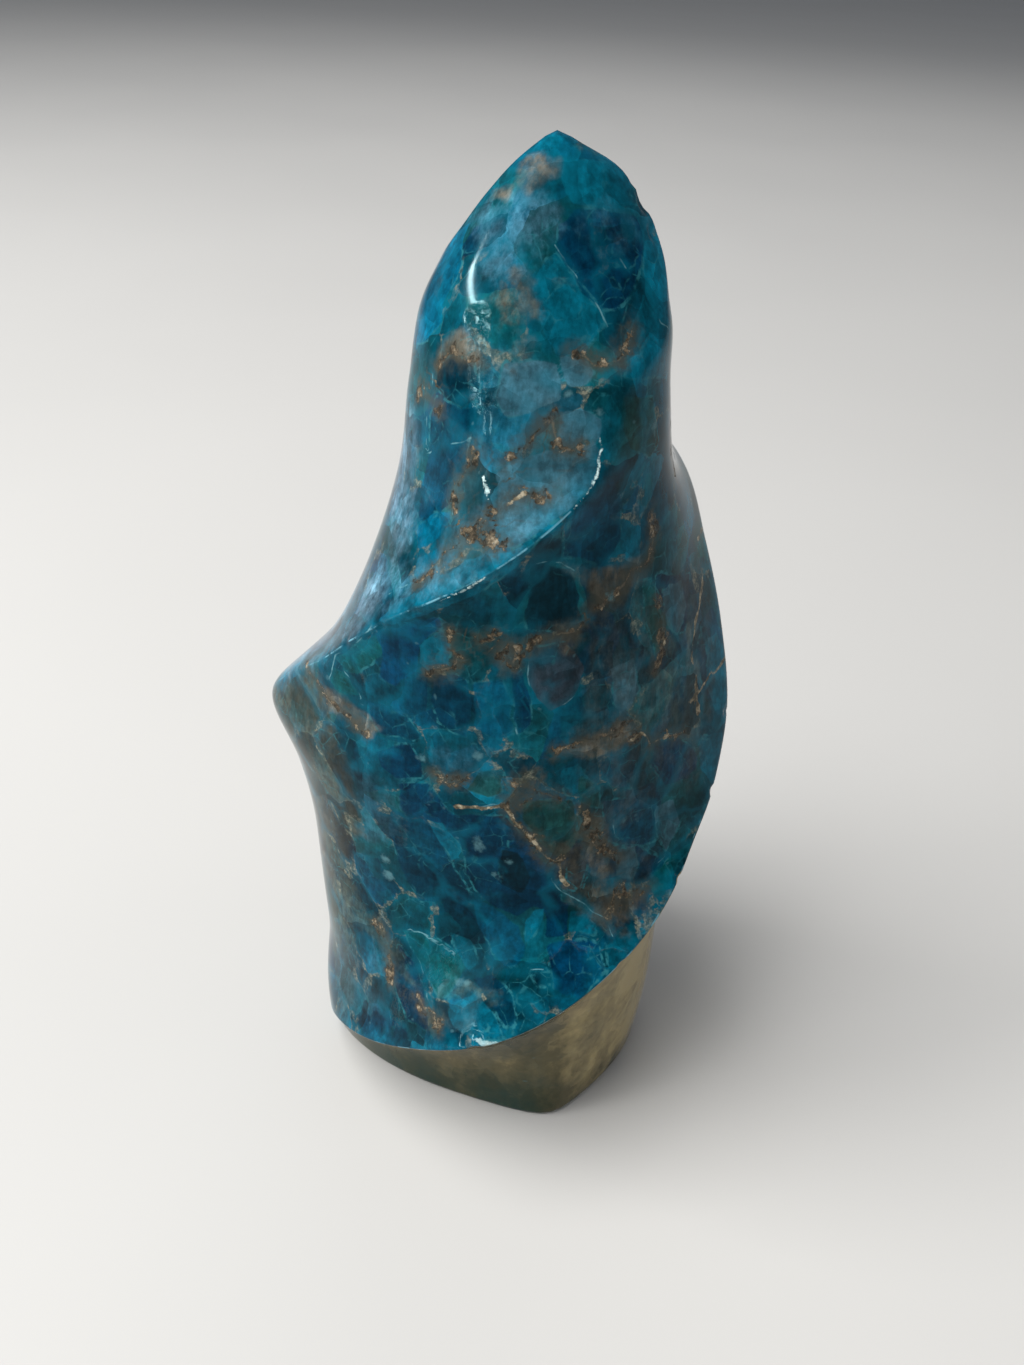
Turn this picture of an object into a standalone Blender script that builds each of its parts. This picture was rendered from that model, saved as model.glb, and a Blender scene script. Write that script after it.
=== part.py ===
"""A polished apatite flame, ground from one stone.

The stone is a rounded body that narrows to a tip, with two sharp ridges that wind up it
counterclockwise and meet again at the tip, and two blunt keels. Each level of the stone is one
ring of points: the body's outline at that height, raised towards each ridge as it comes near.
Lengths in the tables are millimetres and azimuths are degrees: 0 is the stone's right,
90 its back, 180 its left and -90 its front. Every radius is measured from the stone's axis.
"""
import math

import bmesh
import bpy
import numpy as np

MM = 0.001

HEIGHT = 148.8
COLUMNS = 48
ROWS = 72
FOOT_ROUNDING = 1.2
EDGE_ANGLE = 40.0
CENTRE_X = 3.53
CENTRE_Y = 3.66

# Height, then the plain body's reach to the left, right, front and back of the axis.
BODY = (
    (0.0, 28.0, 24.5, 21.0, 27.0),
    (12.0, 29.5, 25.5, 22.0, 27.0),
    (25.0, 30.0, 25.5, 24.0, 27.0),
    (40.0, 30.8, 24.5, 25.0, 26.0),
    (55.0, 30.0, 23.5, 25.0, 25.5),
    (70.0, 27.5, 22.5, 24.5, 25.0),
    (82.0, 24.5, 21.5, 22.5, 23.0),
    (95.0, 21.0, 19.5, 19.5, 20.0),
    (108.0, 17.8, 17.5, 16.0, 17.0),
    (120.0, 16.4, 16.0, 14.0, 14.5),
    (130.0, 14.2, 14.2, 11.5, 11.5),
    (137.0, 9.8, 10.5, 8.2, 8.2),
    (142.0, 6.4, 7.6, 5.6, 5.6),
    (146.0, 3.2, 4.2, 2.8, 2.8),
    (HEIGHT, 0.4, 0.4, 0.4, 0.4),
)

# A sharp ridge: height, azimuth, radius at its crest, and how far round its crest is blunted.
UPPER_RIDGE = (
    (0.0, 80.0, 28.0, 20.0),
    (15.0, 105.0, 29.5, 12.0),
    (30.0, 132.0, 33.0, 7.0),
    (45.0, 154.0, 34.5, 7.0),
    (58.0, 170.0, 36.6, 8.0),
    (69.0, 180.0, 38.2, 7.0),
    (76.0, 189.0, 34.6, 4.0),
    (83.0, 203.0, 30.5, 1.5),
    (89.0, 214.0, 27.8, 1.0),
    (95.5, 229.0, 25.2, 1.0),
    (101.0, 246.0, 23.2, 1.0),
    (106.0, 263.0, 21.5, 1.0),
    (111.5, 282.5, 19.6, 2.5),
    (116.0, 294.5, 18.6, 5.0),
    (119.5, 296.5, 18.0, 8.0),
    (123.5, 299.0, 16.8, 13.0),
    (130.0, 335.0, 15.2, 13.0),
    (137.0, 360.0, 13.2, 2.0),
    (142.5, 364.0, 10.0, 1.0),
    (146.0, 366.0, 6.2, 1.0),
    (147.5, 368.0, 3.0, 1.0),
    (HEIGHT, 370.0, 0.5, 1.0),
)
LOWER_RIDGE = (
    (0.0, -166.0, 30.2, 4.0),
    (10.0, -155.0, 32.2, 1.0),
    (23.0, -119.0, 34.0, 1.0),
    (34.0, -92.0, 36.5, 1.0),
    (44.0, -60.0, 33.5, 1.0),
    (52.0, -29.0, 30.8, 1.0),
    (60.0, -14.0, 31.4, 1.0),
    (72.0, -2.0, 31.6, 1.0),
    (84.0, 6.0, 29.3, 1.0),
    (95.0, 16.0, 26.5, 1.0),
    (106.0, 33.0, 24.0, 1.0),
    (112.0, 53.0, 21.4, 1.5),
    (118.0, 80.0, 19.2, 2.0),
    (124.0, 112.0, 17.4, 2.0),
    (129.0, 142.0, 15.8, 2.0),
    (134.5, 170.0, 12.8, 1.0),
    (138.0, 178.0, 10.4, 1.0),
    (142.0, 182.0, 7.6, 1.0),
    (146.0, 186.0, 4.0, 1.0),
    (HEIGHT, 190.0, 0.5, 1.0),
)
RIDGE_FLANK = 25.0

# A blunt keel: height, azimuth, how far it stands off the body, and its blunting.
FOOT_KEEL = (
    (0.0, -70.0, 5.2, 7.0),
    (15.0, -68.0, 3.5, 10.0),
    (30.0, -62.0, 1.2, 18.0),
    (42.0, -60.0, 0.0, 25.0),
    (HEIGHT, -60.0, 0.0, 25.0),
)
BROW_KEEL = (
    (0.0, -112.0, 0.0, 9.0),
    (84.0, -112.0, 0.0, 9.0),
    (96.0, -113.0, 1.4, 9.0),
    (108.0, -113.0, 2.4, 8.0),
    (120.0, -112.0, 2.4, 8.0),
    (132.0, -112.0, 1.6, 8.0),
    (142.0, -112.0, 0.6, 8.0),
    (HEIGHT, -112.0, 0.0, 8.0),
)
KEEL_FLANK = 24.0


def along(stations, height):
    """A table's values at one height, on a smooth curve through its rows."""
    table = np.array(stations)
    levels = table[:, 0]
    values = table[:, 1:]
    steps = np.diff(levels)
    slopes = np.diff(values, axis=0) / steps[:, None]
    tangents = np.vstack([slopes[:1], values[1:-1], slopes[-1:]])
    before = steps[:-1, None]
    after = steps[1:, None]
    tangents[1:-1] = (slopes[:-1] * after + slopes[1:] * before) / (before + after)
    i = int(np.clip(np.searchsorted(levels, height, side="right") - 1, 0, len(steps) - 1))
    t = (height - levels[i]) / steps[i]
    rise = t * t * (3.0 - 2.0 * t)
    return (
        (1.0 - rise) * values[i]
        + rise * values[i + 1]
        + steps[i] * t * (1.0 - t) * ((1.0 - t) * tangents[i] - t * tangents[i + 1])
    )


def body_reach(height, azimuth):
    """The plain body's radius: four quarter ellipses that share their reaches."""
    left, right, front, back = along(BODY, height)
    across = np.cos(azimuth) / np.where(np.cos(azimuth) < 0.0, left, right)
    deep = np.sin(azimuth) / np.where(np.sin(azimuth) < 0.0, front, back)
    return 1.0 / np.hypot(across, deep)


def nearness(azimuth, crest, blunting, flank):
    """1 on a crest, falling away on both sides of it along hollow flanks."""
    away = np.degrees((azimuth - math.radians(crest) + np.pi) % (2.0 * np.pi) - np.pi)
    return np.exp((blunting - np.hypot(away, blunting)) / flank)


def reach(height, azimuth):
    """The stone's radius at one height, for an array of azimuths in radians."""
    body = body_reach(height, azimuth)
    radius = body.copy()
    for stations in (UPPER_RIDGE, LOWER_RIDGE):
        crest, crest_radius, blunting = along(stations, height)
        rise = crest_radius - float(body_reach(height, math.radians(crest)))
        radius += rise * nearness(azimuth, crest, blunting, RIDGE_FLANK)
    for stations in (FOOT_KEEL, BROW_KEEL):
        crest, rise, blunting = along(stations, height)
        radius += rise * nearness(azimuth, crest, blunting, KEEL_FLANK)
    if height < FOOT_ROUNDING:
        radius -= FOOT_ROUNDING - math.sqrt(FOOT_ROUNDING**2 - (FOOT_ROUNDING - height) ** 2)
    return radius


def column_azimuths(height, columns=COLUMNS):
    """Half of the columns from the lower ridge round to the upper one, half back again."""
    start = along(LOWER_RIDGE, height)[0]
    middle = start + (along(UPPER_RIDGE, height)[0] - start) % 360.0
    share = np.arange(columns // 2) / (columns // 2)
    there = start + (middle - start) * share
    back = middle + (start + 360.0 - middle) * share
    return np.radians(np.concatenate([there, back]))


def ring(height, columns=COLUMNS):
    """One level of the stone, counterclockwise from the lower ridge, in millimetres."""
    azimuths = column_azimuths(height, columns)
    radius = reach(height, azimuths)
    x = CENTRE_X + radius * np.cos(azimuths)
    y = CENTRE_Y + radius * np.sin(azimuths)
    return np.column_stack([x, y, np.full(columns, height)])


def levels(rows=ROWS):
    """The rings' heights, closer together where the ridges turn fast."""
    fine = np.linspace(0.0, HEIGHT, 600)
    crests = []
    for stations in (UPPER_RIDGE, LOWER_RIDGE):
        azimuth, radius, _ = np.array([along(stations, z) for z in fine]).T
        turned = np.diff(np.radians(azimuth)) * radius[1:]
        crests.append(np.hypot(np.diff(fine), turned))
    climb = np.concatenate([[0.0], np.cumsum(crests[0] + crests[1])])
    even = np.linspace(0.0, climb[-1], rows)
    return [0.0, FOOT_ROUNDING / 3.0, *np.interp(even, climb, fine)[1:]]


def stone_mesh():
    """Raises the foot's outline level by level, then draws it together at the tip."""
    bm = bmesh.new()
    heights = levels()
    foot = bm.faces.new([bm.verts.new(point) for point in ring(heights[0])])
    cap = foot
    for height in heights[1:-1]:
        made = bmesh.ops.extrude_face_region(bm, geom=[cap])["geom"]
        if cap is not foot:
            bm.faces.remove(cap)
        cap = next(item for item in made if isinstance(item, bmesh.types.BMFace))
        for vert, point in zip(cap.verts, ring(height)):
            vert.co = point
    tip = bmesh.ops.poke(bm, faces=[cap])["verts"][0]
    tip.co = (CENTRE_X, CENTRE_Y, HEIGHT)
    bmesh.ops.poke(bm, faces=[foot])
    bmesh.ops.recalc_face_normals(bm, faces=bm.faces)
    bmesh.ops.triangulate(bm, faces=bm.faces, quad_method="SHORT_EDGE")
    bmesh.ops.scale(bm, vec=(MM, MM, MM), verts=bm.verts)
    mesh = bpy.data.meshes.new("flame")
    bm.to_mesh(mesh)
    bm.free()
    return mesh


def apatite():
    """Polished teal apatite."""
    material = bpy.data.materials.new("apatite")
    material.use_nodes = True
    shader = material.node_tree.nodes["Principled BSDF"]
    shader.inputs["Base Color"].default_value = (0.022, 0.135, 0.190, 1.0)
    shader.inputs["Roughness"].default_value = 0.12
    shader.inputs["Metallic"].default_value = 0.0
    return material


def main():
    for old in list(bpy.data.objects):
        bpy.data.objects.remove(old)
    mesh = stone_mesh()
    mesh.shade_smooth()
    mesh.set_sharp_from_angle(angle=math.radians(EDGE_ANGLE))
    mesh.materials.append(apatite())
    flame = bpy.data.objects.new("flame", mesh)
    bpy.context.collection.objects.link(flame)


if __name__ == "__main__":
    main()
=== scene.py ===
import math
import random

import bmesh
import bpy
import numpy as np
from mathutils import Matrix, Quaternion, Vector, noise


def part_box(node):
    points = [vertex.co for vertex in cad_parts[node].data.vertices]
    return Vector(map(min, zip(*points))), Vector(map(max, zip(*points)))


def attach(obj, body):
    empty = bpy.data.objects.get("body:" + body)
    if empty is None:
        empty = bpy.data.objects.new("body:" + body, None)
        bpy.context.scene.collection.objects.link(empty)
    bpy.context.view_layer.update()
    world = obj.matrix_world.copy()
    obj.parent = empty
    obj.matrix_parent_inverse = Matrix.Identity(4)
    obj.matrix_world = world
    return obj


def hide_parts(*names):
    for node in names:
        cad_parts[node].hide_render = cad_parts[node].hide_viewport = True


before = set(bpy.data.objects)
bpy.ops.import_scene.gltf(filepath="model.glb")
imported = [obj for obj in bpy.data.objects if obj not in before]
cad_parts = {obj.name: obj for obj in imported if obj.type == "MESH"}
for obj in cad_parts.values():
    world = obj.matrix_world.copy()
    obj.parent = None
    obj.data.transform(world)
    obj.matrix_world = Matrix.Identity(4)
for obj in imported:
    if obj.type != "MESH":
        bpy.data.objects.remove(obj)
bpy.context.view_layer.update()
print("frame loaded")

mm = 0.001
far = 1000.0    # mm, further than anything on the stone
tiny = 1e-9

# The stone's form, in mm and degrees. Azimuth 0 is its right, 90 its back, 180 its left, -90 its front.
stoneForm = {
    "height": 148.8,
    "centre": (3.53, 3.66),
    "footRounding": 1.2,
    "ridgeFlank": 25.0,
    "keelFlank": 24.0,
    # height, then the plain body's reach to the left, right, front and back of the axis
    "body": [
        (0, 28, 24.5, 21, 27), (12, 29.5, 25.5, 22, 27), (25, 30, 25.5, 24, 27),
        (40, 30.8, 24.5, 25, 26), (55, 30, 23.5, 25, 25.5), (70, 27.5, 22.5, 24.5, 25),
        (82, 24.5, 21.5, 22.5, 23), (95, 21, 19.5, 19.5, 20), (108, 17.8, 17.5, 16, 17),
        (120, 16.4, 16, 14, 14.5), (130, 14.2, 14.2, 11.5, 11.5), (137, 9.8, 10.5, 8.2, 8.2),
        (142, 6.4, 7.6, 5.6, 5.6), (146, 3.2, 4.2, 2.8, 2.8), (148.8, 0.4, 0.4, 0.4, 0.4),
    ],
    # height, azimuth, radius at the crest, and how far round the crest is blunted
    "upperRidge": [
        (0, 80, 28, 20), (15, 105, 29.5, 12), (30, 132, 33, 7), (45, 154, 34.5, 7),
        (58, 170, 36.6, 8), (69, 180, 38.2, 7), (76, 189, 34.6, 4), (83, 203, 30.5, 1.5),
        (89, 214, 27.8, 1), (95.5, 229, 25.2, 1), (101, 246, 23.2, 1), (106, 263, 21.5, 1),
        (111.5, 282.5, 19.6, 2.5), (116, 294.5, 18.6, 5), (119.5, 296.5, 18, 8), (123.5, 299, 16.8, 13),
        (130, 335, 15.2, 13), (137, 360, 13.2, 2), (142.5, 364, 10, 1), (146, 366, 6.2, 1),
        (147.5, 368, 3, 1), (148.8, 370, 0.5, 1),
    ],
    "lowerRidge": [
        (0, -166, 30.2, 4), (10, -155, 32.2, 1), (23, -119, 34, 1), (34, -92, 36.5, 1),
        (44, -60, 33.5, 1), (52, -29, 30.8, 1), (60, -14, 31.4, 1), (72, -2, 31.6, 1),
        (84, 6, 29.3, 1), (95, 16, 26.5, 1), (106, 33, 24, 1), (112, 53, 21.4, 1.5),
        (118, 80, 19.2, 2), (124, 112, 17.4, 2), (129, 142, 15.8, 2), (134.5, 170, 12.8, 1),
        (138, 178, 10.4, 1), (142, 182, 7.6, 1), (146, 186, 4, 1), (148.8, 190, 0.5, 1),
    ],
    # height, azimuth, how far the keel stands off the body, and its blunting
    "footKeel": [
        (0, -70, 5.2, 7), (15, -68, 3.5, 10), (30, -62, 1.2, 18), (42, -60, 0, 25), (148.8, -60, 0, 25),
    ],
    "browKeel": [
        (0, -112, 0, 9), (84, -112, 0, 9), (96, -113, 1.4, 9), (108, -113, 2.4, 8),
        (120, -112, 2.4, 8), (132, -112, 1.6, 8), (142, -112, 0.6, 8), (148.8, -112, 0, 8),
    ],
}

# How finely the surface is cut, and what the grinder and the years left on it. Lengths in mm.
surface = {
    "columns": 296,
    "rows": 330,
    "footRows": (0.0, 0.12, 0.36),
    "climbSteps": 900,
    "crowding": 0.45,      # how much the columns gather at the two ridges
    "wave": 0.10,          # depth of the soft waves left by hand grinding
    "waveLength": 9.0,
    "chipSteepness": 1.7,
    "tipSpared": 6.0,      # waves and chips fade out within this of the tip and the foot
    "footSpared": 2.0,
    # azimuth, height, radius and depth of each chip
    "chips": [
        (2, 141.5, 1.6, 0.5), (-3, 138.6, 1.3, 0.4), (8, 143.6, 1.0, 0.3), (-97, 33.0, 1.7, 0.55),
        (-60, 44.2, 0.9, 0.25), (-34, 50.6, 0.9, 0.3), (-14, 60.0, 1.0, 0.3), (-4, 71.0, 0.9, 0.25),
        (-108, 103.4, 0.8, 0.3), (-113, 101.6, 0.7, 0.25), (-124, 97.4, 0.8, 0.25),
        (-135, 93.4, 0.7, 0.25), (-148, 88.2, 0.9, 0.3), (30, 104.0, 0.9, 0.3),
        (140, 128.6, 0.9, 0.3), (120, 25.0, 1.1, 0.3),
    ],
}


def valuesAt(stations, height):
    # a table's values at one height, on a smooth curve through its rows
    table = np.array(stations, float)
    levels, values = table[:, 0], table[:, 1:]
    steps = np.diff(levels)
    slopes = np.diff(values, axis=0) / steps[:, None]
    before, after = steps[:-1, None], steps[1:, None]
    inner = (slopes[:-1] * after + slopes[1:] * before) / (before + after)
    tangents = np.vstack([slopes[:1], inner, slopes[-1:]])
    i = int(np.clip(np.searchsorted(levels, height, side="right") - 1, 0, len(steps) - 1))
    t = (height - levels[i]) / steps[i]
    rise = t * t * (3.0 - 2.0 * t)
    bend = steps[i] * t * (1.0 - t) * ((1.0 - t) * tangents[i] - t * tangents[i + 1])
    return (1.0 - rise) * values[i] + rise * values[i + 1] + bend


def halfTurn(degrees):
    return (degrees + 180.0) % 360.0 - 180.0


def bodyReach(height, azimuth):
    left, right, front, back = valuesAt(stoneForm["body"], height)
    across = np.cos(azimuth) / np.where(np.cos(azimuth) < 0.0, left, right)
    deep = np.sin(azimuth) / np.where(np.sin(azimuth) < 0.0, front, back)
    return 1.0 / np.hypot(across, deep)


def nearness(azimuth, crest, blunting, flank):
    # 1 on a crest, falling away on both sides along hollow flanks
    away = halfTurn(np.degrees(azimuth) - crest)
    return np.exp((blunting - np.hypot(away, blunting)) / flank)


def stoneReach(height, azimuth):
    # the stone's radius at one height, for an array of azimuths in radians
    radius = bodyReach(height, azimuth)
    for ridge in ("upperRidge", "lowerRidge"):
        crest, crestRadius, blunting = valuesAt(stoneForm[ridge], height)
        rise = crestRadius - float(bodyReach(height, math.radians(crest)))
        radius += rise * nearness(azimuth, crest, blunting, stoneForm["ridgeFlank"])
    for keel in ("footKeel", "browKeel"):
        crest, rise, blunting = valuesAt(stoneForm[keel], height)
        radius += rise * nearness(azimuth, crest, blunting, stoneForm["keelFlank"])
    rounding = stoneForm["footRounding"]
    if height < rounding:
        radius -= rounding - math.sqrt(rounding**2 - (rounding - height) ** 2)
    return radius


def levelPoints(azimuths, height):
    # points of the surface at one height
    radius = stoneReach(height, azimuths)
    x = stoneForm["centre"][0] + radius * np.cos(azimuths)
    y = stoneForm["centre"][1] + radius * np.sin(azimuths)
    return np.column_stack([x, y, np.full(len(azimuths), height)])


def reachAt(azimuth, height):
    return float(stoneReach(height, np.radians([azimuth]))[0])


def surfacePoint(azimuth, height):
    return levelPoints(np.radians([azimuth]), height)[0]


def azimuthsOf(points):
    x, y = (points[:, :2] - stoneForm["centre"]).T
    return np.degrees(np.arctan2(y, x))


def stoneRing(height):
    # one level of the stone, its columns gathered towards the ridges
    start = valuesAt(stoneForm["lowerRidge"], height)[0]
    middle = start + (valuesAt(stoneForm["upperRidge"], height)[0] - start) % 360.0
    share = np.linspace(0.0, 1.0, surface["columns"] // 2, endpoint=False)
    share -= surface["crowding"] * np.sin(2.0 * np.pi * share) / (2.0 * np.pi)
    there = start + (middle - start) * share
    back = middle + (start + 360.0 - middle) * share
    return levelPoints(np.radians(np.concatenate([there, back])), height)


def ringHeights():
    # closer together where the ridges turn fast, and round the foot's edge
    fine = np.linspace(0.0, stoneForm["height"], surface["climbSteps"])
    climb = np.zeros(len(fine))
    for ridge in ("upperRidge", "lowerRidge"):
        azimuth, radius, blunting = np.array([valuesAt(stoneForm[ridge], z) for z in fine]).T
        turned = np.diff(np.radians(azimuth)) * radius[1:]
        climb[1:] += np.cumsum(np.hypot(np.diff(fine), turned))
    even = np.linspace(0.0, climb[-1], surface["rows"])
    return [*surface["footRows"], *np.interp(even, climb, fine)[2:]]


def raiseStone():
    # the foot's outline is extruded level by level, then drawn together at the tip
    bm = bmesh.new()
    heights = ringHeights()
    foot = bm.faces.new([bm.verts.new(point) for point in stoneRing(heights[0])])
    cap = foot
    for height in heights[1:-1]:
        made = bmesh.ops.extrude_face_region(bm, geom=[cap])["geom"]
        if cap is not foot:
            bm.faces.remove(cap)
        cap = next(item for item in made if isinstance(item, bmesh.types.BMFace))
        for vert, point in zip(cap.verts, stoneRing(height)):
            vert.co = point
    tip = bmesh.ops.poke(bm, faces=[cap])["verts"][0]
    tip.co = (*stoneForm["centre"], stoneForm["height"])
    bmesh.ops.poke(bm, faces=[foot])
    bmesh.ops.recalc_face_normals(bm, faces=bm.faces)
    bmesh.ops.triangulate(bm, faces=bm.faces, quad_method="SHORT_EDGE")
    mesh = bpy.data.meshes.new("apatiteFlame")
    bm.to_mesh(mesh)
    bm.free()
    return mesh


def wornPoints(mesh):
    # waves and chips only take stone away, so the stone stays inside its box
    points = np.array([vertex.co for vertex in mesh.vertices])
    outward = (points - (*stoneForm["centre"], 0.0)) * (1.0, 1.0, 0.0)
    outward /= np.maximum(np.linalg.norm(outward, axis=1), tiny)[:, None]
    wave = np.array([noise.noise(Vector(p) / surface["waveLength"]) for p in points])
    depth = surface["wave"] * (0.5 + 0.5 * wave)
    for azimuth, height, radius, chipDepth in surface["chips"]:
        gap = np.linalg.norm(points - surfacePoint(azimuth, height), axis=1)
        depth += chipDepth * np.clip(surface["chipSteepness"] * (1.0 - gap / radius), 0.0, 1.0)
    depth *= np.clip((stoneForm["height"] - points[:, 2]) / surface["tipSpared"], 0.0, 1.0)
    depth *= np.clip(points[:, 2] / surface["footSpared"], 0.0, 1.0)
    lowest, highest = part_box("flame")
    return np.clip(points - outward * depth[:, None], np.array(lowest) / mm, np.array(highest) / mm)


stoneMesh = raiseStone()
stonePoints = wornPoints(stoneMesh)
stoneMesh.vertices.foreach_set("co", (stonePoints * mm).ravel())
stoneMesh.update()
stoneMesh.shade_smooth()
print("stone raised:", len(stoneMesh.vertices), "points")


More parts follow.
